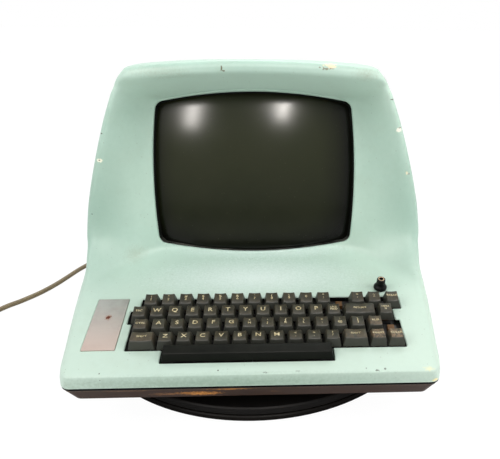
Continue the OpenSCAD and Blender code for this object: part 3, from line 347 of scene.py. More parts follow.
def key_plastic(name, colour, grime, rough, specular=0.2, edges=0.5, front=0.4):
    """Cap plastic: each cap has its own shade, finger grime lies on its top, and a painted highlight runs
    along its edges.
    """
    f = Finish(name, specular=specular)
    own, top, worn = (f.put("Attribute", attribute_name=kind).outputs["Fac"] for kind in CAP_LAYERS)
    f.uneven = f.use(MOTTLING, Coarse=60.0, Fine=420.0)
    f.shade = f.blend(own, linear(*colour, 0.7), linear(*colour, 1.3))
    f.layer(f.calc("SUBTRACT", 1.0, top), front, 70, 73, 68)
    f.layer(f.spread(f.uneven, 0.4, 0.7, 0.0, 0.25 * min(1, 2 * edges)), 1, 66, 64, 54)
    f.layer(f.times(top, f.spread(f.noise(170.0, 4.0), 0.38, 0.64)), grime, 88, 78, 58)
    rubbed = f.times(top, worn, f.spread(f.noise(240.0, 5.0, 0.7), 0.4, 0.55))
    f.layer(rubbed, 0.7, 140, 116, 90)
    f.layer(f.use(SETTLED_DUST, Amount=0.1 * min(1, 3 * edges)), 1, 112, 110, 98)
    # Painted highlight: lighter lines along the caps' edges.
    f.layer(f.use(EDGE_WEAR_AND_PAINTED_HIGHLIGHT, Radius=0.0007, Share=edges), 1, 124, 120, 104)
    gloss = f.calc("SUBTRACT", f.wander(rough - 0.05, rough + 0.1), f.times(top, 0.08))
    return f.done(gloss, f.use(GRAIN, Scale=1500.0), 0.00004)


def legend_ink():
    f = Finish("legend", specular=0.35)
    worn = f.spread(f.noise(500.0, 3.0), 0.35, 0.62)
    f.shade = f.blend(worn, linear(164, 146, 102), linear(222, 210, 172))
    return f.done(f.spread(worn, 0.0, 1.0, 0.45, 0.55))


def brushed_plate():
    """Aluminium plate brushed from side to side, clouded, warmer near the front, with a rust mark."""
    f = Finish("brushed plate", metallic=0.75)
    brush = f.noise(1.0, 4.0, 0.7, f.vector("MULTIPLY", f.place, (60.0, 2600.0, 2600.0)))
    f.shade = f.blend(brush, linear(150, 150, 146), linear(184, 184, 178))
    f.layer(f.spread(f.noise(60.0, 4.0), 0.5, 0.75), 0.3, 168, 152, 142)
    f.layer(f.spread(f.noise(34.0, 5.0, 0.65), 0.45, 0.7), 0.45, 132, 130, 124)
    f.layer(f.spread(f.axis(1), -0.14, -0.2), 0.6, 198, 172, 160)
    torn, mark = f.noise(700.0, 3.0), (-158, -158, 95.7)
    f.layer(f.spot(mark, (4.2, 4.6, 6), 0.6, 0.5, torn), 0.75, 150, 104, 78)
    rust = f.spot(mark, (2.6, 2.8, 4), 0.9, 0.3, torn)
    f.layer(rust, 1, 92, 44, 30)
    return f.done(f.calc("ADD", f.spread(brush, 0.2, 0.8, 0.36, 0.5), f.times(rust, 0.3)), brush, 0.00003)


def tube_glass():
    """Tinted face of the tube: olive grey, with painted light that makes it lighter at the top, and painted
    shade, near black, round its edge.
    """
    f = Finish("face glass", specular=0.15)
    haze, across, height = f.noise(14.0, 3.0), f.axis(0), f.axis(2)
    # Painted light: the glass is lighter towards the top.
    f.shade = f.blend(f.spread(height, 0.14, 0.31), linear(20, 24, 11), linear(50, 53, 33))
    f.layer(f.spread(haze, 0.3, 0.7, 0.0, 0.25), 1, 50, 50, 34)
    # Painted shade: the glass darkens to near black round its edge.
    aside = f.calc("DIVIDE", f.calc("ADD", across, 0.009), 0.127)
    above = f.calc("DIVIDE", f.calc("SUBTRACT", height, 0.2225), 0.097)
    edge = f.calc("ADD", f.calc("POWER", f.calc("ABSOLUTE", aside), 4.0),
                  f.calc("POWER", f.calc("ABSOLUTE", above), 5.0))
    f.layer(f.spread(edge, 0.25, 1.0, 0.0, 0.9), 1, 9, 10, 7)
    f.layer(f.use(SPECKS, Scale=340.0, Share=0.06), 0.2, 120, 118, 100)
    return f.done(f.spread(haze, 0.3, 0.7, 0.165, 0.185))


def brown_tray():
    """Brown tray: painted shade along its top, in the gap under the housing, a rubbed line below it and
    orange scuffs on the front.
    """
    f = Finish("brown tray", specular=0.07)
    f.start(18.0, 260.0, linear(46, 30, 22), linear(64, 45, 34))
    f.layer(f.use(EDGE_WEAR_AND_PAINTED_HIGHLIGHT, Radius=0.0012, Share=0.5), 1, 118, 90, 62)
    torn, height = f.noise(420.0, 4.0), f.axis(2)
    streak = f.noise(1.0, 4.0, 0.7, f.vector("MULTIPLY", f.place, (70.0, 200.0, 900.0)))
    for centre, size, limit, tone, share in SCUFFS:
        lines = f.calc("MULTIPLY", f.calc("SUBTRACT", streak, limit), 9.0, clamp=True)
        f.layer(f.times(f.spot(centre, size, 0.5, 0.5, torn), lines), share, *tone)
    line = f.times(f.spread(height, 0.0572, 0.0577), f.spread(torn, 0.4, 0.55))
    f.layer(line, 0.45, 120, 92, 66)
    # Painted shade: near black along the tray's top, in the gap under the housing.
    f.layer(f.spread(height, 0.0583, 0.0586), 1, 10, 9, 8)
    return f.done(f.wander(0.3, 0.42), f.use(GRAIN, Scale=800.0), 0.00006)


def lead_sheath():
    f = Finish("lead sheath", specular=0.4)
    f.start(40.0, 500.0, linear(106, 92, 68), linear(134, 118, 88))
    return f.done(f.wander(0.4, 0.55), f.use(GRAIN, Scale=1200.0), 0.00005)


MINT = mint_plastic()
CAP = key_plastic("key cap", (52, 51, 43), 0.35, 0.4)
SPACE_CAP = key_plastic("space bar", (16, 18, 14), 0.0, 0.36, 0.08, 0.1, 0.0)
LEGEND = legend_ink()
PLUNGER = plain_finish("plunger", (98, 67, 34), 0.5, vary=0.2, specular=0.2)
PLATE = brushed_plate()
GLASS = tube_glass()
BROWN = brown_tray()
SHEATH = lead_sheath()
BLACK_DISC = plain_finish("black disc", (22, 20, 18), 0.4, dust=0.03, rub=0.2, scratch=0.04, specular=0.05)
GREY_DISC = plain_finish("grey disc", (28, 27, 26), 0.4, dust=0.03, rub=0.2, specular=0.06)
BLACK = plain_finish("black plastic", (24, 24, 25), 0.45, specular=0.3)
KNOB = plain_finish("knob plastic", (9, 10, 10), 0.28, vary=0.2, dust=0.04, rub=0.1, specular=0.14)
DARK_INSIDE = plain_finish("dark inside", (14, 14, 13), 0.6, dust=0.05, specular=0.15)
RUBBER = plain_finish("rubber", (34, 34, 34), 0.62, grain=1400.0, depth=0.0001)
GASKET = plain_finish("gasket", (12, 14, 11), 0.5, dust=0.3, dust_colour=(150, 150, 140), specular=0.08)
STEEL = plain_finish("plated steel", (178, 180, 184), 0.34, metallic=1.0, dust=0.1, grain=2000.0,
                     depth=0.00001)
BRASS = plain_finish("brass", (206, 178, 150), 0.35, metallic=1.0, dust=0.05)
COATING = plain_finish("tube coating", (38, 37, 36), 0.6, vary=0.2)
BULB = plain_finish("tube glass back", (66, 68, 62), 0.25, vary=0.2, coat=0.4)
BOARD = plain_finish("green board", (38, 92, 54), 0.4, coat=0.3)
TAN_BOARD = plain_finish("tan board", (150, 116, 66), 0.5)
COPPER = plain_finish("varnished winding", (150, 84, 40), 0.36, metallic=0.6, grain=400.0)
CAN = plain_finish("can sleeve", (58, 74, 132), 0.35)
RED = plain_finish("red block", (160, 40, 38), 0.4)
STEEL_DARK = plain_finish("laminations", (104, 106, 110), 0.5, metallic=0.7, scratch=0.1)


def wrap(bm, rings, ends=True, around=False):
    """Skin through equal outlines: a grid laid along them and sewn at its seam. around joins the last
    outline to the first; ends closes both ends."""
    across, along = len(rings[0]), len(rings)
    spans = along if around else along - 1
    grid = bmesh.ops.create_grid(bm, x_segments=across, y_segments=spans, size=1)["verts"]
    order = sorted(grid, key=lambda v: (round(v.co.y, 5), round(v.co.x, 5)))
    for number, vert in enumerate(order):
        row, column = divmod(number, across + 1)
        vert.co = rings[row % along][column % across]
    bmesh.ops.remove_doubles(bm, verts=grid, dist=1e-4)
    if ends and not around:
        close_holes(bm, [e for e in bm.edges if e.is_boundary])


def close_holes(bm, rim):
    bmesh.ops.holes_fill(bm, edges=rim, sides=0)


def skinned(rings, around=False):
    """A new closed shape through equal outlines, with its faces turned outwards."""
    bm = bmesh.new()
    wrap(bm, rings, around=around)
    bmesh.ops.recalc_face_normals(bm, faces=bm.faces)
    return bm


def level(points, height):
    """A flat outline at one height."""
    return [Vector((x, y, height)) for x, y in points]


def cube(bm):
    return bmesh.ops.create_cube(bm, size=1)["verts"]


def round_edges(bm, edges, offset, segments):
    bmesh.ops.bevel(bm, geom=edges, offset=offset, segments=segments, profile=0.5, affect="EDGES",
                    material=-1)


def split_at(bm, x):
    """Cuts all faces along the plane at x."""
    everything = bm.verts[:] + bm.edges[:] + bm.faces[:]
    bmesh.ops.bisect_plane(bm, geom=everything, plane_co=(x, 0, 0), plane_no=(1, 0, 0))


def post(bm, start, end, radius, sides=20):
    start, end = Vector(start), Vector(end)
    turn = (end - start).to_track_quat("Z", "Y").to_matrix().to_4x4()
    bmesh.ops.create_cone(bm, cap_ends=True, segments=sides, radius1=radius, radius2=radius,
                          depth=(end - start).length, matrix=Matrix.Translation((start + end) / 2) @ turn)


def add_to(whole, bm):
    """Moves one shape into another."""
    spare = bpy.data.meshes.new("spare")
    bm.to_mesh(spare)
    bm.free()
    whole.from_mesh(spare)
    bpy.data.meshes.remove(spare)


def worked_out(obj):
    """A shape made of an object, with its modifiers or its lettering worked out."""
    mesh = bpy.data.meshes.new_from_object(obj.evaluated_get(bpy.context.evaluated_depsgraph_get()))
    bm = bmesh.new()
    bm.from_mesh(mesh)
    bpy.data.meshes.remove(mesh)
    return bm


def as_object(bm, name):
    mesh = bpy.data.meshes.new(name)
    bm.to_mesh(mesh)
    bm.free()
    return show(name, mesh)


def piece(name, bm, body, finishes, place, stands_for, sharp=38):
    """Turns a finished shape into an object in metres on its body, in place of some of the part's nodes."""
    bmesh.ops.transform(bm, matrix=Matrix.Scale(0.001, 4) @ place, verts=bm.verts)
    obj = as_object(bm, name)
    for made in finishes:
        obj.data.materials.append(made)
    obj.data.shade_smooth()
    obj.data.set_sharp_from_angle(angle=radians(sharp))
    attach(obj, body)
    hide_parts(*stands_for)
    return obj


def box_corners(x0, y0, x1, y1):
    return [(x0, y0), (x1, y0), (x1, y1), (x0, y1)]


def rounded(points, radius, steps=4, grow=0.0):
    """Outline of a polygon with rounded corners, given anticlockwise, grown outwards."""
    out = []
    count = len(points)
    for i, corner in enumerate(points):
        corner = Vector(corner)
        back = (Vector(points[i - 1]) - corner).normalized()
        ahead = (Vector(points[(i + 1) % count]) - corner).normalized()
        turn = ahead.x * back.y - ahead.y * back.x
        side = Vector((-back.y, back.x)) + Vector((ahead.y, -ahead.x))
        corner = corner + side * grow
        r = max(0.2, radius + (grow if turn > 0 else -grow))
        centre = corner + (back + ahead) * r
        start, end = corner + back * r - centre, corner + ahead * r - centre
        first = atan2(start.y, start.x)
        swing = (atan2(end.y, end.x) - first + pi) % (2 * pi) - pi
        for s in range(steps + 1):
            a = first + swing * s / steps
            out.append(centre + r * Vector((cos(a), sin(a))))
    return out


def squircle(a, b, power, count):
    """Outline between an ellipse, at power 2, and a rectangle."""
    out = []
    for i in range(count):
        c, s = cos(2 * pi * i / count), sin(2 * pi * i / count)
        x, y = (copysign(abs(value) ** (2 / power), value) for value in (c, s))
        out.append((a * x, b * y))
    return out


# The housing's skin is the same as the part's. Its lines give y or half a width at a height z.
SWELL = [(118, 0), (150, 4.2), (185, 4.9), (240, 3.8), (290, 3.4), (320, 2.6), (332, 0.6), (342, -3.5),
         (353, -9)]
CORNERS = [(PARTING_Z, 12), (PARTING_Z + 8, 14), (PARTING_Z + 18, 34), (DECK_Z + 4, 34), (DECK_Z + 30, 14),
           (DECK_Z + 60, 10)]


def smooth_min(a, b, k):
    h = max(k - abs(a - b), 0) / k
    return min(a, b) - h * h * k / 4


def smooth_max(a, b, k):
    return -smooth_min(-a, -b, k)


def between(value, table):
    """Straight from row to row of a table of pairs."""
    for (a, b), (c, d) in zip(table, table[1:]):
        if value <= c:
            return b + (d - b) * max(0, value - a) / (c - a)
    return table[-1][1]


def tip_line(z):
    """The foremost line of the flanks."""
    hood = SILL_Y - 10 - 68 * exp(-(z - DECK_Z - 5) / 28) - 4.5 * (max(0, z - 230) / 115) ** 2
    return smooth_max(FRONT_Y, smooth_min(ROW_Y + (z - DECK_Z) / DECK_RISE, hood, 16), 14)


def plan_half(y):
    """Half of the plan's width at a depth y."""
    before, behind = max(0, FRONT_Y + 140 - y) / 140, max(0, y - 60) / (REAR_Y - 60)
    return HALF_W - 15.8 * before ** 1.25 - 12 * behind ** 2


def skin_half(y, z):
    """Half of the skin's width, which leans in and rounds off towards the top."""
    lean = 50 * (max(0, z - 150) / 187) ** 1.55
    side = plan_half(y) - lean + between(z, SWELL)
    return smooth_min(side, 145 * sqrt(max(0.02, TOP_Z - z) / 8.5), 17)


def rear_line(z):
    """The back, which comes forward as it rises."""
    rise = (z - PARTING_Z) / (TOP_Z - PARTING_Z)
    return -52 + (REAR_Y + 52) * max(0, 1 - rise ** 2.5) ** (1 / 1.8)


def face_line(x, z):
    """The front: lip and deck, then the sunken screen face, its flanks and the brow."""
    lifted = z + 8.5 * (x / 145) ** 2
    deck = ROW_Y + (z - DECK_Z) / DECK_RISE
    screen = SILL_Y + (z - SILL_Z) * tan(SCREEN_TILT)
    brow = SILL_Y + (SILL_TOP_Z - SILL_Z) * tan(SCREEN_TILT) - (lifted - SILL_TOP_Z + 5.5) * 59 / 33.5
    tip = tip_line(z)
    reach = skin_half(tip, z) - 5
    start = OPEN_W + 2
    flank = tip + (reach - abs(x)) * (screen - tip) / max(4, reach - start)
    hollow = smooth_min(smooth_min(smooth_min(deck, screen, 34), brow, 9), flank, 9)
    roll = 11 * max(0.01, min(1, (z - 126) / 24)) * (1 - 0.6 * max(0, min(1, (z - 312) / 26)))
    rise = max(0, min(0.98, (lifted + 9 - TOP_Z) / 9))
    return smooth_max(hollow, tip, roll) + 9 * (1 - sqrt(1 - rise * rise))


def skin_outline(z):
    """One closed level of the skin, from the front middle round to the back middle and home."""
    tip = tip_line(z)
    width = skin_half(tip, z)
    rx = min(10, width / 3)
    back = rear_line(z)
    ry = min(between(z, CORNERS), (back - tip) / 4)
    flat = width - rx
    front = face_line(flat, z)
    rc = min(62, (back - front - ry) * 0.6, width * 0.6)
    half = [(flat * i / 60, face_line(flat * i / 60, z)) for i in range(61)]
    for i in range(1, 9):
        y = front + ry * (1 - cos(pi * i / 16))
        half.append((skin_half(y, z) - rx * (1 - sin(pi * i / 16)), y))
    for i in range(1, 21):
        y = front + ry + (back - rc - front - ry) * i / 20
        half.append((skin_half(y, z), y))
    for i in range(1, 11):
        y = back - rc * (1 - sin(pi * i / 20))
        half.append((skin_half(y, z) - rc * (1 - cos(pi * i / 20)), y))
    edge = half[-1][0]
    half += [(edge * (1 - i / 12), back) for i in range(1, 13)]
    return level(half, z) + level([(-x, y) for x, y in half[-2:0:-1]], z)


def levels():
    """Heights of the outlines: foot, lip, deck, middle and rounded top."""
    low = [62, 62.6, 64, 66, 68, 70, 71.5]
    lip = [72.5 + 0.5 * i for i in range(16)]
    deck = [81 + 1.3 * i for i in range(38)]
    middle = [131 + 3.3 * i for i in range(39)]
    top = [TOP_Z - 100 * (i / 60) ** 2 for i in range(60, 0, -1)]
    return low + lip + deck + middle + top


def edge_share(number, point):
    """How much of a crease is taken off at a point, by its place in the outline and its height."""
    lowest, first, last = 112, 44, 72
    fade = max(0.0, min(1.0, (point.z - lowest) / 30))
    return fade * max(0.0, min(1.0, (number - first) / 8, (last - number) / 4))


def soften(rings):
    """Rolls the crease of the hood's edge: points near it are drawn to their neighbours in the level."""
    passes, count = 26, len(rings[0])
    near = [min(k, count - k) for k in range(count)]
    for _ in range(passes):
        moved = [ring[:] for ring in rings]
        for j in range(1, len(rings) - 1):
            for k in range(count):
                share = edge_share(near[k], rings[j][k])
                if share > 0:
                    a, b, c = rings[j][k - 1], rings[j][k], rings[j][(k + 1) % count]
                    moved[j][k] = b + ((a + c) / 2 - b) * 0.5 * share
        rings = moved
    return rings


def on_skin(x, v):
    """How far in front of the screen plane the skin lies at a point of that plane."""
    low, high = -10.0, 60.0
    for _ in range(24):
        n = (low + high) / 2
        p = on_screen @ Vector((x, v, n))
        if p.y > face_line(p.x, p.z):
            low = n
        else:
            high = n
    return (low + high) / 2


def screen_outline(margin, side=8):
    """Opening of the screen: four shallow arcs with rounded corners, grown by a margin."""
    side_r, top_r, corner_r, corner = 720.0, 590.0, 11.0, 8
    ax, by = OPEN_W + 1.4 - side_r, OPEN_H + 0.6 - top_r
    ra, rb = side_r - corner_r, top_r - corner_r
    gap = sqrt(ax * ax + by * by)
    along = (gap * gap + ra * ra - rb * rb) / (2 * gap)
    off = sqrt(ra * ra - along * along)
    cx, cy = ax - along * ax / gap, along * by / gap
    cx, cy = cx - off * by / gap, cy - off * ax / gap
    first, last = atan2(cy, cx - ax), atan2(cy - by, cx)

    def arc(x, y, radius, start, end, steps):
        turns = [start + (end - start) * i / steps for i in range(steps + 1)]
        return [(x + (radius + margin) * cos(a), y + (radius + margin) * sin(a)) for a in turns]

    quarter = (arc(ax, 0.0, side_r, 0.0, first, side)[:-1] + arc(cx, cy, corner_r, first, last, corner)
               + arc(0.0, by, top_r, last, pi / 2, side)[1:])
    right = quarter[:-1] + [(0.0, quarter[-1][1])]
    upper = right + [(-x, y) for x, y in reversed(right[:-1])]
    return upper + [(x, -y - 2.4 * min(1, y / 60)) for x, y in reversed(upper[1:-1])]


# The keys: middle of the first digit key, how far each row is shifted in key pitches, room round them
FIRST_KEY_X, ROW_SHIFT = -113.6, [0, 0, 0.5, 0.75, 1.25, 5.75]
LEFT_ROOM, RIGHT_ROOM, UPPER_ROOM = 3.2, 2.2, 2


def key_x(row, column):
    """Where the middle of a key lies from side to side."""
    return FIRST_KEY_X + (ROW_SHIFT[row] + column) * PITCH


def keyboard_corners():
    """Opening for the keys: one step a row, clear of every cap."""
    left = [key_x(row, column) - LEFT_ROOM for row, column in ((1, -0.5), (2, -1.5), (3, -1.5))]
    right = [key_x(row, column) + RIGHT_ROOM for row, column in ((1, 14.5), (2, 13.5), (3, 13.5))]
    edge = [(0.5 - row) * PITCH + UPPER_ROOM for row in range(3)]
    below = [0] + [(1 - row) * PITCH - (PITCH - KEY_GAP) / 2 - 0.4 for row in (1, 2, 3, 4)]
    middle, half, bar = key_x(5, 0), 4.5 * PITCH + 1.5, -4 * PITCH + BAR_FRONT - 1.2
    return [(left[0], edge[0]), (left[0], edge[1]), (left[1], edge[1]), (left[1], below[2]),
            (left[2], below[2]), (left[2], below[4]), (middle - half - 2, below[4]), (middle - half - 2, bar),
            (middle + half, bar), (middle + half, below[4]), (right[2], below[4]), (right[2], edge[2]),
            (right[1], edge[2]), (right[1], below[1]), (right[0] + 0.8, below[1]), (right[0] + 0.8, edge[0])]


def cutter(name, place, rings):
    """Closed solid through outlines, laid in its place."""
    bm = skinned(rings)
    bmesh.ops.transform(bm, matrix=place, verts=bm.verts)
    return as_object(bm, name)


def housing_cutters():
    """Keyboard opening, recess of the plate, knob hole, screen opening and rear slots."""
    top, keys = -KEY_RISE, keyboard_corners()
    inner, outer = box_corners(-170, -60.3, -146, 6.7), box_corners(-175.4, -65.7, -140.6, 12.1)
    hole_r, hole_sides = 5, 32
    ring = [(KNOB_X + x, KNOB_V + y) for x, y in squircle(hole_r, hole_r, 2, hole_sides)]
    openings = {
        "keyboard opening": [(-60, keys, 1.2, 0.0), (top - 0.9, keys, 1.2, 0.0), (top - 0.3, keys, 1.2, 0.25),
                             (top + 0.05, keys, 1.2, 0.9), (30, keys, 1.2, 0.9)],
        "plate recess": [(-40, inner, 2, 0.0), (top - 0.9, inner, 2, 0.0), (top - 0.899, outer, 0.8, 0.0),
                         (top - 0.3, outer, 0.8, 0.0), (top + 0.05, outer, 0.8, 0.4), (30, outer, 0.8, 0.4)],
    }
    made = []
    for name, steps in openings.items():
        rings = [level(rounded(corners, radius, grow=grow), z) for z, corners, radius, grow in steps]
        made.append(cutter(name, on_keys, rings))
    made.append(cutter("knob hole", on_keys, [level(ring, -50), level(ring, 10)]))
    skin_depth = [on_skin(x, v) for x, v in screen_outline(0.0)]
    rims = [level(screen_outline(0.0), -30.0)]
    for margin, lift in ((0.0, -1.5), (0.25, -0.6), (0.75, -0.1), (1.6, 0.05), (1.6, 40.0)):
        outline = zip(screen_outline(margin), skin_depth)
        rims.append([Vector((x, v, depth + lift)) for (x, v), depth in outline])
    made.append(cutter("screen opening", on_screen, rims))
    slots = bmesh.new()
    slot_pitch, slot_half, slot_low, slot_high = 16, 2.5, 130, 200
    for i in range(-6, 7):
        left, right = i * slot_pitch - slot_half, i * slot_pitch + slot_half
        capsule = rounded(box_corners(left, slot_low, right, slot_high), slot_half - 0.01, 6)
        add_to(slots, skinned([[Vector((p.x, y, p.y)) for p in capsule] for y in (150, 250)]))
    made.append(as_object(slots, "rear slots"))
    return made


def build_housing():
    """Skin with its wall, openings and screw posts; the walls of the key opening are dark."""
    bm = bmesh.new()
    wrap(bm, soften([skin_outline(z) for z in levels()]), ends=False)
    close_holes(bm, [e for e in bm.edges if e.is_boundary and e.verts[0].co.z > 300])
    bmesh.ops.recalc_face_normals(bm, faces=bm.faces)
    shell = as_object(bm, "housing blank")
    tuned(shell.modifiers.new("wall", "SOLIDIFY"), thickness=WALL, offset=-1)
    cutters = housing_cutters()
    for tool in cutters:
        tuned(shell.modifiers.new(tool.name, "BOOLEAN"), operation="DIFFERENCE", solver="EXACT", object=tool)
    bm = worked_out(shell)
    for spare in [shell] + cutters:
        bpy.data.objects.remove(spare)
    bmesh.ops.dissolve_degenerate(bm, dist=0.02, edges=bm.edges)
    tube_x, tube_v, tube_n, tube_r, cover = 138.7, 109.0, -21.9, 6, 3.0
    screw_x, screw_y, screw_z, screw_r = 172, FRONT_Y + 32, 41.1, 4
    for sx in (-1, 1):
        for sy in (-1, 1):
            x, v = sx * tube_x, sy * tube_v
            rim = [on_skin(x + tube_r * cos(a * pi / 4), v + tube_r * sin(a * pi / 4)) for a in range(8)]
            post(bm, on_screen @ Vector((x, v, tube_n)), on_screen @ Vector((x, v, min(rim) - cover)), tube_r)
        deck = DECK_Z + (screw_y - ROW_Y) * DECK_RISE
        post(bm, (sx * screw_x, screw_y, screw_z), (sx * screw_x, screw_y, deck - 2), screw_r)
    to_keys, key_room = on_keys.inverted(), ((-142, 168), (-90, 16), (-17, -12.95))
    for f in bm.faces:
        spot = to_keys @ f.calc_center_median()
        turned = to_keys.to_3x3() @ f.normal
        if all(low < value < high for value, (low, high) in zip(spot, key_room)) and abs(turned.z) < 0.4:
            f.material_index = 1
    piece("housing", bm, "lid", [MINT, DARK_INSIDE], Matrix(), ["upper_shell"], sharp=32)


build_housing()


def run(row, first, legends):
    """Caps one unit wide from a column on: row, column, width and legend."""
    return [(row, first + c, 1, legend) for c, legend in enumerate(legends)]


CAPS = {
    "digit_keys_left": run(1, 0, ["!\n1", '"\n2', "#\n3", "$\n4", "%\n5"]),
    "digit_keys_right": run(1, 5, ["&\n6", "'\n7", "(\n8", ")\n9", "0"]),
    "number_row_end_keys": [(1, 10, 1, "*\n:"), (1, 12, 1, "=\n-"), (1, 13, 1, "~\n^")],
    "top_letters_left": run(2, 0, "WQERT"),
    "top_letters_right": run(2, 5, "YUIOP"),
    "home_letters_left": run(3, 0, "ASDFG"),
    "home_letters_right": run(3, 5, ["^\nH", "'\nJ", "[\nK", "\\\nL", "+\n;", "`\n@", "}\n]"]),
    "bottom_letters_left": run(4, 0, "ZXCVB"),
    "bottom_letters_right": run(4, 5, ["N", "M", "<\n,", ">\n.", "?\n/"]),
    "break_key": [(1, 14, 1, "BREAK")],
    "escape_key": [(2, -1, 1, "ESC")],
    "line_feed_key": [(2, 10, 1, "LINE\nFEED")],
    "return_key": [(2, 11.5, 2, "RETURN")],
    "here_key": [(2, 13, 1, "HERE\nIS")],
    "control_key": [(3, -1, 1, "CTRL")],
    "rubout_key": [(3, 12, 1, "RUB")],
    "shift_left_key": [(4, -1.25, 1.5, "SHIFT")],
    "shift_right_key": [(4, 10.25, 1.5, "SHIFT")],
    "repeat_key": [(4, 11.5, 1, "REPEAT")],
    "clear_key": [(4, 12.5, 1, "CLEAR")],
}
WORN_CAPS = {"REPEAT": 0.75, "CLEAR": 0.95, "RUB": 0.45, "SHIFT": 0.2, "CTRL": 0.15}
ROW_TILT = [0, 7, 3, -2, -6, -8]
# A cap's top is narrower and less deep than its foot. Its ceiling, and the ends of its stem, are heights.
TOP_NARROWER, TOP_SHALLOWER, CEILING = 5.0, 4.2, -2.6
STEM_W, STEM_TOP, STEM_FOOT = 7.4, -2.4, -KEY_RISE - WALL - 0.5 - 13.8 + 5.4


def dish(x, height):
    """How deep the finger dish is at a point of a cap, fading out below the top."""
    return max(0.0, 0.85 - x * x / 58) * max(0.0, min(1.0, (height + 2.6) / 2.2))


def legend_size(lines):
    if len(lines[0]) == 1:
        return 7.4 if len(lines) == 1 and lines[0].isalpha() else 4.4
    return 3.8 if len(lines) == 1 and len(lines[0]) < 6 else 3.3


def lettering(text, wide):
    """Legend as a thin flat shape round the origin, in millimetres."""
    lines = text.split("\n")
    curve = tuned(bpy.data.curves.new("legend", "FONT"), body=text, align_x="CENTER", align_y="CENTER",
                  size=legend_size(lines), space_line=0.84 if len(lines[0]) == 1 else 0.95, resolution_u=3)
    curve.offset = 0.012 * curve.size
    holder = show("legend", curve)
    bm = worked_out(holder)
    bpy.data.objects.remove(holder)
    bpy.data.curves.remove(curve)
    bmesh.ops.scale(bm, vec=(1.12, 1, 1), verts=bm.verts)
    bmesh.ops.remove_doubles(bm, verts=bm.verts, dist=1e-4)
    reach = int(wide / 2)
    for i in range(-reach, reach + 1):
        split_at(bm, i)
    return bm


def add_stem(bm):
    """Square stem under a cap; gives its faces."""
    stem = cube(bm)
    for v in stem:
        v.co = (v.co.x * STEM_W, v.co.y * STEM_W, STEM_FOOT if v.co.z < 0 else STEM_TOP)
    return {f for v in stem for f in v.link_faces}


def cap(row, width, text, seed):
    """One key cap on its plunger: a tapered block with rounded edges, a finger dish and its legend."""
    chance = random.Random(seed)
    bm = bmesh.new()
    shade, topness, wornness = [bm.verts.layers.float.new(kind) for kind in CAP_LAYERS]
    wide, deep = width * PITCH - KEY_GAP, PITCH - KEY_GAP
    lean = tan(radians(ROW_TILT[row]))
    cube(bm)
    for v in bm.verts:
        if v.co.z > 0:
            y = v.co.y * (deep - TOP_SHALLOWER)
            v.co = (v.co.x * (wide - TOP_NARROWER), y, y * lean)
        else:
            v.co = (v.co.x * wide, v.co.y * deep, SKIRT)
    brow = [e for e in bm.edges if min(v.co.z for v in e.verts) > -5 and max(v.co.y for v in e.verts) < 0]
    round_edges(bm, brow, 2.6, 4)
    rim = [e for e in bm.edges if max(v.co.z for v in e.verts) > -5 and e.calc_face_angle(0) > 0.6]
    round_edges(bm, rim, 0.7, 3)
    bottom = [f for f in bm.faces if f.calc_center_median().z < SKIRT + 0.1]
    bmesh.ops.inset_region(bm, faces=bottom, thickness=1.3, use_even_offset=True)
    pushed = bmesh.ops.extrude_face_region(bm, geom=bottom)["geom"]
    bmesh.ops.delete(bm, geom=bottom, context="FACES")
    for v in pushed:
        if isinstance(v, bmesh.types.BMVert):
            v.co = (v.co.x * 0.74, v.co.y * 0.8, CEILING)
    for x in (-5.6, -4.2, -2.8, -1.4, 0, 1.4, 2.8, 4.2, 5.6):
        split_at(bm, x)
    own = chance.uniform(0.15, 0.75)
    for v in bm.verts:
        height = v.co.z - v.co.y * lean
        if height > -2.4:
            v.co.z -= dish(v.co.x, height)
        v[shade] = own
        v[topness] = max(0.0, min(1.0, (height + 1.6) / 1.0))
        v[wornness] = WORN_CAPS.get(text, 0.0)
    for f in add_stem(bm):
        f.material_index = 2
    letters = lettering(text, wide - 7)
    for v in letters.verts:
        x, y = v.co.x, v.co.y + (0.4 if row > 1 else 0.9)
        v.co = (x, y, y * lean - dish(x, 0) + 0.035)
    before = len(bm.faces)
    add_to(bm, letters)
    bm.faces.ensure_lookup_table()
    for f in bm.faces[before:]:
        f.material_index = 1
        f.normal_update()
        if f.normal.z < 0:
            f.normal_flip()
    nudge = Matrix.Rotation(radians(chance.uniform(-0.7, 0.7)), 4, "Z")
    bmesh.ops.transform(bm, matrix=nudge, verts=bm.verts)
    return bm


def seen_x(row, column):
    """The caps to the right stand slightly wide of their pitch."""
    x = key_x(row, column)
    extra = 1.3 if (row, round(column)) == (1, 14) else 0.0
    return x + 1.2 * max(0.0, min(1.0, (x - 10) / 90)) + extra


def build_keys():
    seed = 0
    for node, caps in CAPS.items():
        together = bmesh.new()
        for row, column, width, text in caps:
            seed += 1
            one = cap(row, width, text, seed)
            bmesh.ops.translate(one, verts=one.verts, vec=(seen_x(row, column), -(row - 1) * PITCH, 0))
            add_to(together, one)
        name = node.replace("_keys", "").replace("_key", "") + "_caps"
        piece(name, together, node, [CAP, LEGEND, PLUNGER], on_keys, [node], sharp=50)


def build_space_bar():
    bm = bmesh.new()
    cube(bm)
    long, deep, top_long, top_deep = 9 * PITCH + 2.2, 14.3, 9 * PITCH - 2.0, 11.2
    for v in bm.verts:
        if v.co.z > 0:
            y = v.co.y * top_deep + 1.2
            v.co = (v.co.x * top_long - 0.8, y, -0.9 + 0.14 * y)
        else:
            v.co = (v.co.x * long - 0.8, v.co.y * deep + BAR_FRONT + deep / 2, SKIRT)
    round_edges(bm, [e for e in bm.edges if max(v.co.z for v in e.verts) > -5], 1.3, 4)
    shade = bm.verts.layers.float.new(CAP_LAYERS[0])
    for v in bm.verts:
        v[shade] = 0.35
    add_stem(bm)
    place = on_keys @ Matrix.Translation((key_x(5, 0), -4 * PITCH, 0))
    piece("space_cap", bm, "space_bar", [SPACE_CAP], place, ["space_bar"])


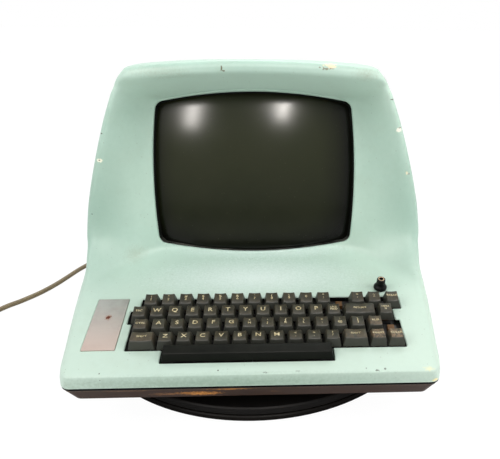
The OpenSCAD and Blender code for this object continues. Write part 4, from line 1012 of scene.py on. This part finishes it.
build_keys()
build_space_bar()

PANEL_W, PANEL_H, FACE_R, FACE_N, NECK_R, TUBE_LEN = OPEN_W + 10, OPEN_H + 9, 650.0, 2.0, 14.3, 222.0


def face_depth(x, y):
    return FACE_N - FACE_R + sqrt(FACE_R ** 2 - x * x - y * y)


def build_tube():
    """Picture tube: domed face, thick glass edge, bulb drawn in to the neck, and its end."""
    outlines = []
    for i in range(1, 25):
        share = i / 24
        power = 2.2 + 6.8 * share ** 3
        outlines.append((squircle((PANEL_W - 1.5) * share, (PANEL_H - 1.5) * share, power, 96), 0.0))
    for grow, drop in ((-0.4, 0.4), (0.0, 1.6)):
        outlines.append((squircle(PANEL_W + grow, PANEL_H + grow, 9, 96), drop))
    rings = [[Vector((x, y, face_depth(x, y) - drop)) for x, y in points] for points, drop in outlines]
    glass_edge, funnel = -38.0, 123
    rings.append(level(squircle(PANEL_W, PANEL_H, 9, 96), glass_edge))
    for i in range(21):
        f = i / 20
        a = PANEL_W - 2 + (NECK_R - PANEL_W + 2) * f ** 0.75
        b = PANEL_H - 2 + (NECK_R - PANEL_H + 2) * f ** 0.85
        rings.append(level(squircle(a, b, 9 - 7 * sqrt(f), 96), glass_edge - funnel * f))
    for r, n in ((NECK_R, -TUBE_LEN + 6), (NECK_R - 1.5, -TUBE_LEN + 1.5), (NECK_R - 5, -TUBE_LEN)):
        rings.append(level(squircle(r, r, 2, 96), n))
    bm = skinned(rings)
    for f in bm.faces:
        n = f.calc_center_median().z
        f.material_index = 0 if n > -36 else 1 if n > -150 else 2
    piece("tube", bm, "lid", [GLASS, COATING, BULB], on_screen, ["picture_tube"], sharp=50)


def build_gasket():
    """Rubber frame between the glass and the housing, with a rounded inner lip."""
    foot = -21.5
    profile = [(7.0, foot), (7.0, -5.0), (6.4, -4.6), (0.4, -4.6), (-0.3, -4.9), (-0.9, -5.8), (-1.3, -7.2),
               (-1.4, -9.0), (-1.4, foot)]
    rings = []
    for grow, n in profile:
        ring = []
        for x, y in screen_outline(grow, 10):
            floor = face_depth(x, y) + 0.2
            ring.append(Vector((x, y, floor if n == foot else max(n, floor + 0.3 * (n + 21) / 21))))
        rings.append(ring)
    bm = skinned(rings, around=True)
    piece("gasket", bm, "lid", [GASKET], on_screen, ["screen_gasket"], sharp=40)


def build_knob():
    """Skirted knob with a fluted waist, a metal ring round the hole in its top, on its shaft."""
    profile = [(0.05, 1.4), (7.1, 1.4), (7.6, 1.7), (7.7, 2.3), (7.7, 3.4), (7.5, 4.2), (7.0, 5.0),
               (6.3, 6.0), (5.6, 7.0), (5.15, 8.4), (5.0, 10.0), (4.95, 13.4), (4.85, 14.3), (4.5, 14.8),
               (4.0, 15.0), (3.5, 15.0), (3.45, 14.9), (2.7, 14.9), (2.65, 15.0), (2.4, 14.9), (2.35, 12.2),
               (0.05, 12.2)]
    sides, top = 96, 15.0
    rings = []
    for r, n in profile:
        flute = 0.32 if 7.5 < n < 14.2 and r > 4 else 0.0
        ring = []
        for i in range(sides):
            reach, turn = r - flute * (1 - abs(cos(pi * i / 4))), 2 * pi * i / sides
            ring.append((reach * cos(turn), reach * sin(turn)))
        rings.append(level(ring, n))
    bm = skinned(rings)
    for f in bm.faces:
        middle = f.calc_center_median()
        if middle.z > top - 0.2 and 2.6 < sqrt(middle.x ** 2 + middle.y ** 2) < 3.5:
            f.material_index = 1
    post(bm, (0, 0, -9.9), (0, 0, 2), 3, 24)
    place = on_keys @ Matrix.Translation((KNOB_X, KNOB_V, -KEY_RISE))
    piece("knob", bm, "contrast_knob", [KNOB, BRASS], place, ["contrast_knob"], sharp=34)


build_tube()
build_gasket()
build_knob()

# Mains lead: the part's route and coil, in millimetres
CORD_D, CORD_X, CORD_Z, RELIEF_END = 7.0, -120.0, 48.0, 259.0
ON_TABLE = 3.6
LAID_ROUTE = [(-120, 247.02, 48), (-120, 259, 48), (-120, 266, 47.5), (-121, 276, 45), (-124, 287, 38),
              (-130, 296, 27), (-140, 302, 15), (-154, 305, 7)]
LAID_ROUTE += [(x, y, ON_TABLE) for x, y in
               ((-170, 304), (-190, 299), (-212, 288), (-234, 271), (-255, 249), (-274, 223), (-290, 195),
                (-303, 168), (-313, 138), (-323, 110), (-336, 83), (-353, 58), (-367, 42), (-377, 27),
                (-386, 12))]
COIL_X, COIL_Y, COIL_R, COIL_GAP, LAST_CLIMB = -440, 12, 40, 0.8, 10.2


def coil_point(turn):
    """Point of the coil after so many turns: winding in, climbing, winding out, ending at the plug."""
    def ramp(start, end):
        return max(0, min(1, (turn - start) / (end - start)))
    step = CORD_D + COIL_GAP
    if turn < 2.5:
        r = COIL_R + step * (1.25 - turn)
    elif turn < 4.6:
        r = COIL_R + step * (turn - 3.75)
    else:
        r = COIL_R + step * 0.85 - (turn - 4.6) * 20
    z = ON_TABLE + step * ramp(2.25, 2.75) + LAST_CLIMB * ramp(4.35, 4.8)
    a = radians(-27 - 360 * turn)
    return Vector((COIL_X + r * cos(a), COIL_Y + r * sin(a), z))


def rounded_route(points, steps):
    """Points of a smooth curve through the route."""
    out = []
    for i in range(len(points) - 1):
        a, b, c, d = (points[max(0, min(len(points) - 1, i + k))] for k in (-1, 0, 1, 2))
        for s in range(steps):
            t = s / steps
            out.append(0.5 * (2 * b + (c - a) * t + (2 * a - 5 * b + 4 * c - d) * t * t
                              + (3 * b - a - 3 * c + d) * t ** 3))
    return out + [points[-1]]


def cord_points():
    """The lead's points, its end at the plug and the level way that it points there."""
    turning = [coil_point(i / 24) for i in range(125)]
    inward = (turning[1] - turning[0]).normalized()
    start = turning[0] - CORD_D * inward
    way = turning[-1] - turning[-2]
    way = Vector((way.x, way.y, 0)).normalized()
    end = turning[-1] + CORD_D * way
    laid = [Vector(p) for p in LAID_ROUTE] + [start - CORD_D * inward, start]
    return rounded_route(laid, 5)[:-1] + rounded_route([start] + turning + [end], 3), end, way


def build_cord():
    points, end, way = cord_points()
    curve = tuned(bpy.data.curves.new("mains_lead", "CURVE"), dimensions="3D", bevel_depth=CORD_D / 2000,
                  bevel_resolution=4, use_fill_caps=True)
    line = curve.splines.new("POLY")
    line.points.add(len(points) - 1)
    for spot, p in zip(line.points, points):
        spot.co = (p.x / 1000, p.y / 1000, p.z / 1000, 1)
    line.use_smooth = True
    curve.materials.append(SHEATH)
    lead = show("mains_lead", curve)
    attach(lead, "terminal")
    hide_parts("power_cord", "cord_coil")

    plug = build_plug(end, way)
    relief = build_relief()


def build_relief():
    """Strain relief: square gland in the wall, then a ribbed taper."""
    profile = [(6.5, 0), (6.5, 16.2)]
    rib = ((0.5, 0), (0, 0.4), (0, 2.1), (0.5, 2.4), (1.5, 2.5), (1.5, 3.6))
    for i in range(8):
        profile += [(7.5 - 0.36 * i - inset, 16.5 + i * 3.7 + rise) for inset, rise in rib]
    profile += [(4.3, 46.2), (4.2, 46.8), (3.9, 47.0), (3.53, 47.0), (3.53, 36.0)]
    rings = [level(squircle(r, r, 2, 40), z) for r, z in profile]
    place = Matrix.Translation((CORD_X, 212, CORD_Z)) @ Matrix.Rotation(-pi / 2, 4, "X")
    return piece("strain_relief_boot", skinned(rings), "terminal", [RUBBER], place, ["strain_relief"],
                 sharp=30)


def build_plug(end, way):
    """Moulded three-pin plug with finger grips; two flat blades and a round earth pin."""
    shape = [(0.0, 4.1, 4.1), (5.0, 4.6, 4.4), (6.0, 5.6, 5.0), (9.0, 7.4, 5.6), (14.0, 10.2, 6.3),
             (15.0, 10.9, 6.5), (16.6, 10.9, 6.5), (17.2, 10.2, 6.0), (18.8, 10.2, 6.0), (19.4, 10.9, 6.5),
             (21.0, 10.9, 6.5), (21.6, 10.2, 6.0), (23.2, 10.2, 6.0), (23.8, 10.9, 6.5), (31.0, 11.0, 6.5),
             (31.7, 10.6, 6.1), (32.0, 10.0, 5.5)]
    root, blade_tip, blade_out, blade_t, blade_w = 31.5, 47.9, 6.35, 1.5, 6.4
    earth_tip, earth_r = 48.2, 2.4
    rings = []
    for x, a, b in shape:
        rings.append([Vector((x, p, q)) for p, q in squircle(a, b, 2 + 3.2 * min(1, x / 15), 40)])
    bm = skinned(rings)
    body_faces = len(bm.faces)
    for side in (-1, 1):
        blade = cube(bm)
        for v in blade:
            x = blade_tip if v.co.x > 0 else root
            v.co = (x, side * blade_out + v.co.y * blade_t, v.co.z * blade_w)
        tip = [e for v in blade for e in v.link_edges if all(w.co.x > 40 for w in e.verts)]
        round_edges(bm, list(set(tip)), 0.6, 2)
    post(bm, (root, 0, 0), (earth_tip, 0, 0), earth_r, 24)
    dome = Matrix.Translation((earth_tip - 0.8, 0, 0))
    bmesh.ops.create_uvsphere(bm, u_segments=24, v_segments=12, radius=earth_r - 0.02, matrix=dome)
    bm.faces.ensure_lookup_table()
    for f in bm.faces[body_faces:]:
        f.material_index = 1
    place = Matrix.Translation(end + way * 0.02) @ Matrix.Rotation(atan2(way.y, way.x), 4, "Z")
    return piece("plug_body", bm, "terminal", [RUBBER, BRASS], place, ["plug"], sharp=35)


build_cord()

# The part's own nodes that are shown: finish, width of the softened edges in millimetres, names
KEPT_NODES = [
    (STEEL, 0.1, "bearing_ring rear_panel tube_band"),
    (STEEL, 0.15, "data_connectors case_screws"),
    (STEEL, 0.2, "hinge_leaves_tray hinge_pins hinge_leaves_shell contrast_pot tube_screws"),
    (BLACK, 0.15, "heat_sink logic_chips"),
    (BLACK, 0.2, "key_switches neck_socket"),
    (BLACK, 0.25, "switch_housing"),
    (BLACK, 0.3, "power_switch fuse_holder beeper"),
    (BLACK, 0.4, "flyback"),
    (BLACK_DISC, 0.4, "swivel_base"),
    (GREY_DISC, 0.4, "swivel_top"),
    (RUBBER, 0.4, "rubber_feet"),
    (BROWN, 0.5, "base_tray"),
    (STEEL_DARK, 0.3, "power_transformer"),
    (CAN, 0.3, "capacitors"),
    (BOARD, 0.1, "logic_board"),
    (TAN_BOARD, 0.1, "monitor_board"),
    (RED, 0.15, "option_switches"),
    (PLATE, 0.2, "cover_plate"),
    (COPPER, 0.4, "deflection_yoke"),
    (PLUNGER, 0.4, "bare_plungers"),
]


def finish_node(obj, made, soft):
    obj.data.materials.clear()
    obj.data.materials.append(made)
    tuned(obj.modifiers.new("weld", "WELD"), merge_threshold=0.00001)
    tuned(obj.modifiers.new("soft edges", "BEVEL"), width=soft / 1000, segments=2, limit_method="ANGLE",
          angle_limit=radians(40), harden_normals=False)


for node_finish, softness, names in KEPT_NODES:
    for node_name in names.split():
        finish_node(nodes[node_name], node_finish, softness)


def lamp(name, place, target, size, power, colour=(1, 1, 1)):
    light = tuned(bpy.data.lights.new(name, "AREA"), shape="RECTANGLE", size=size[0], size_y=size[1],
                  energy=power, color=colour)
    return tuned(show(name, light), location=place, rotation_mode="QUATERNION",
                 rotation_quaternion=(Vector(target) - Vector(place)).to_track_quat("-Z", "Y"))


def light_scene():
    """White surroundings, darker as a light than as a background, with four softboxes and two glints."""
    world = bpy.data.worlds.new("studio")
    scene.world = world
    world.use_nodes = True
    tree = world.node_tree
    background = tree.nodes["Background"]
    background.inputs["Color"].default_value = (1, 1, 1, 1)
    t = Nodes(tree)
    path = t.put("LightPath").outputs
    seen = t.calc("MAXIMUM", path["Is Camera Ray"], path["Is Glossy Ray"])
    seen = t.calc("MAXIMUM", seen, path["Is Transmission Ray"])
    tree.links.new(t.spread(seen, 0, 1, 0.46, 1.0), background.inputs["Strength"])
    lamp("overhead softbox", (0.35, -0.55, 1.7), (0.05, -0.08, 0.1), (1.5, 1.0), 7.5)
    lamp("left window", (-1.5, -0.9, 1.3), (0, 0, 0.2), (1.0, 1.2), 16)
    lamp("right window", (1.4, -0.6, 1.0), (0.1, 0, 0.1), (1.0, 1.0), 12)
    lamp("rear softbox", (0.2, 1.0, 1.8), (0, -0.1, 0.1), (1.2, 1.0), 17)
    glints = (("left glint", (-0.785, -1.6, 1.28), 19), ("right glint", (0.275, -1.61, 1.37), 23))
    for name, place, power in glints:
        tuned(lamp(name, place, (0, 0, 0.3), (0.13, 0.38), power, (1.0, 0.955, 0.91)), visible_diffuse=False)


def lay_floor():
    """Pale floor that the camera sees nearly white."""
    bm = bmesh.new()
    bmesh.ops.create_grid(bm, x_segments=1, y_segments=1, size=30)
    floor = tuned(as_object(bm, "floor"), location=(0, 0, -0.0002))
    made = bpy.data.materials.new("pale floor")
    made.use_nodes = True
    tree = made.node_tree
    shader = tree.nodes["Principled BSDF"]
    shader.inputs["Base Color"].default_value = (0.82, 0.82, 0.82, 1)
    shader.inputs["Roughness"].default_value = 0.8
    t = Nodes(tree)
    glow = t.put("Emission", {"Color": (1, 1, 1, 1), "Strength": 1.07})
    share = t.times(t.put("LightPath").outputs["Is Camera Ray"], 0.9)
    both = t.put("MixShader", {0: share, 1: shader.outputs[0], 2: glow.outputs[0]})
    tree.links.new(both.outputs[0], tree.nodes["Material Output"].inputs["Surface"])
    floor.data.materials.append(made)


light_scene()
lay_floor()
scene.view_settings.view_transform = "Standard"
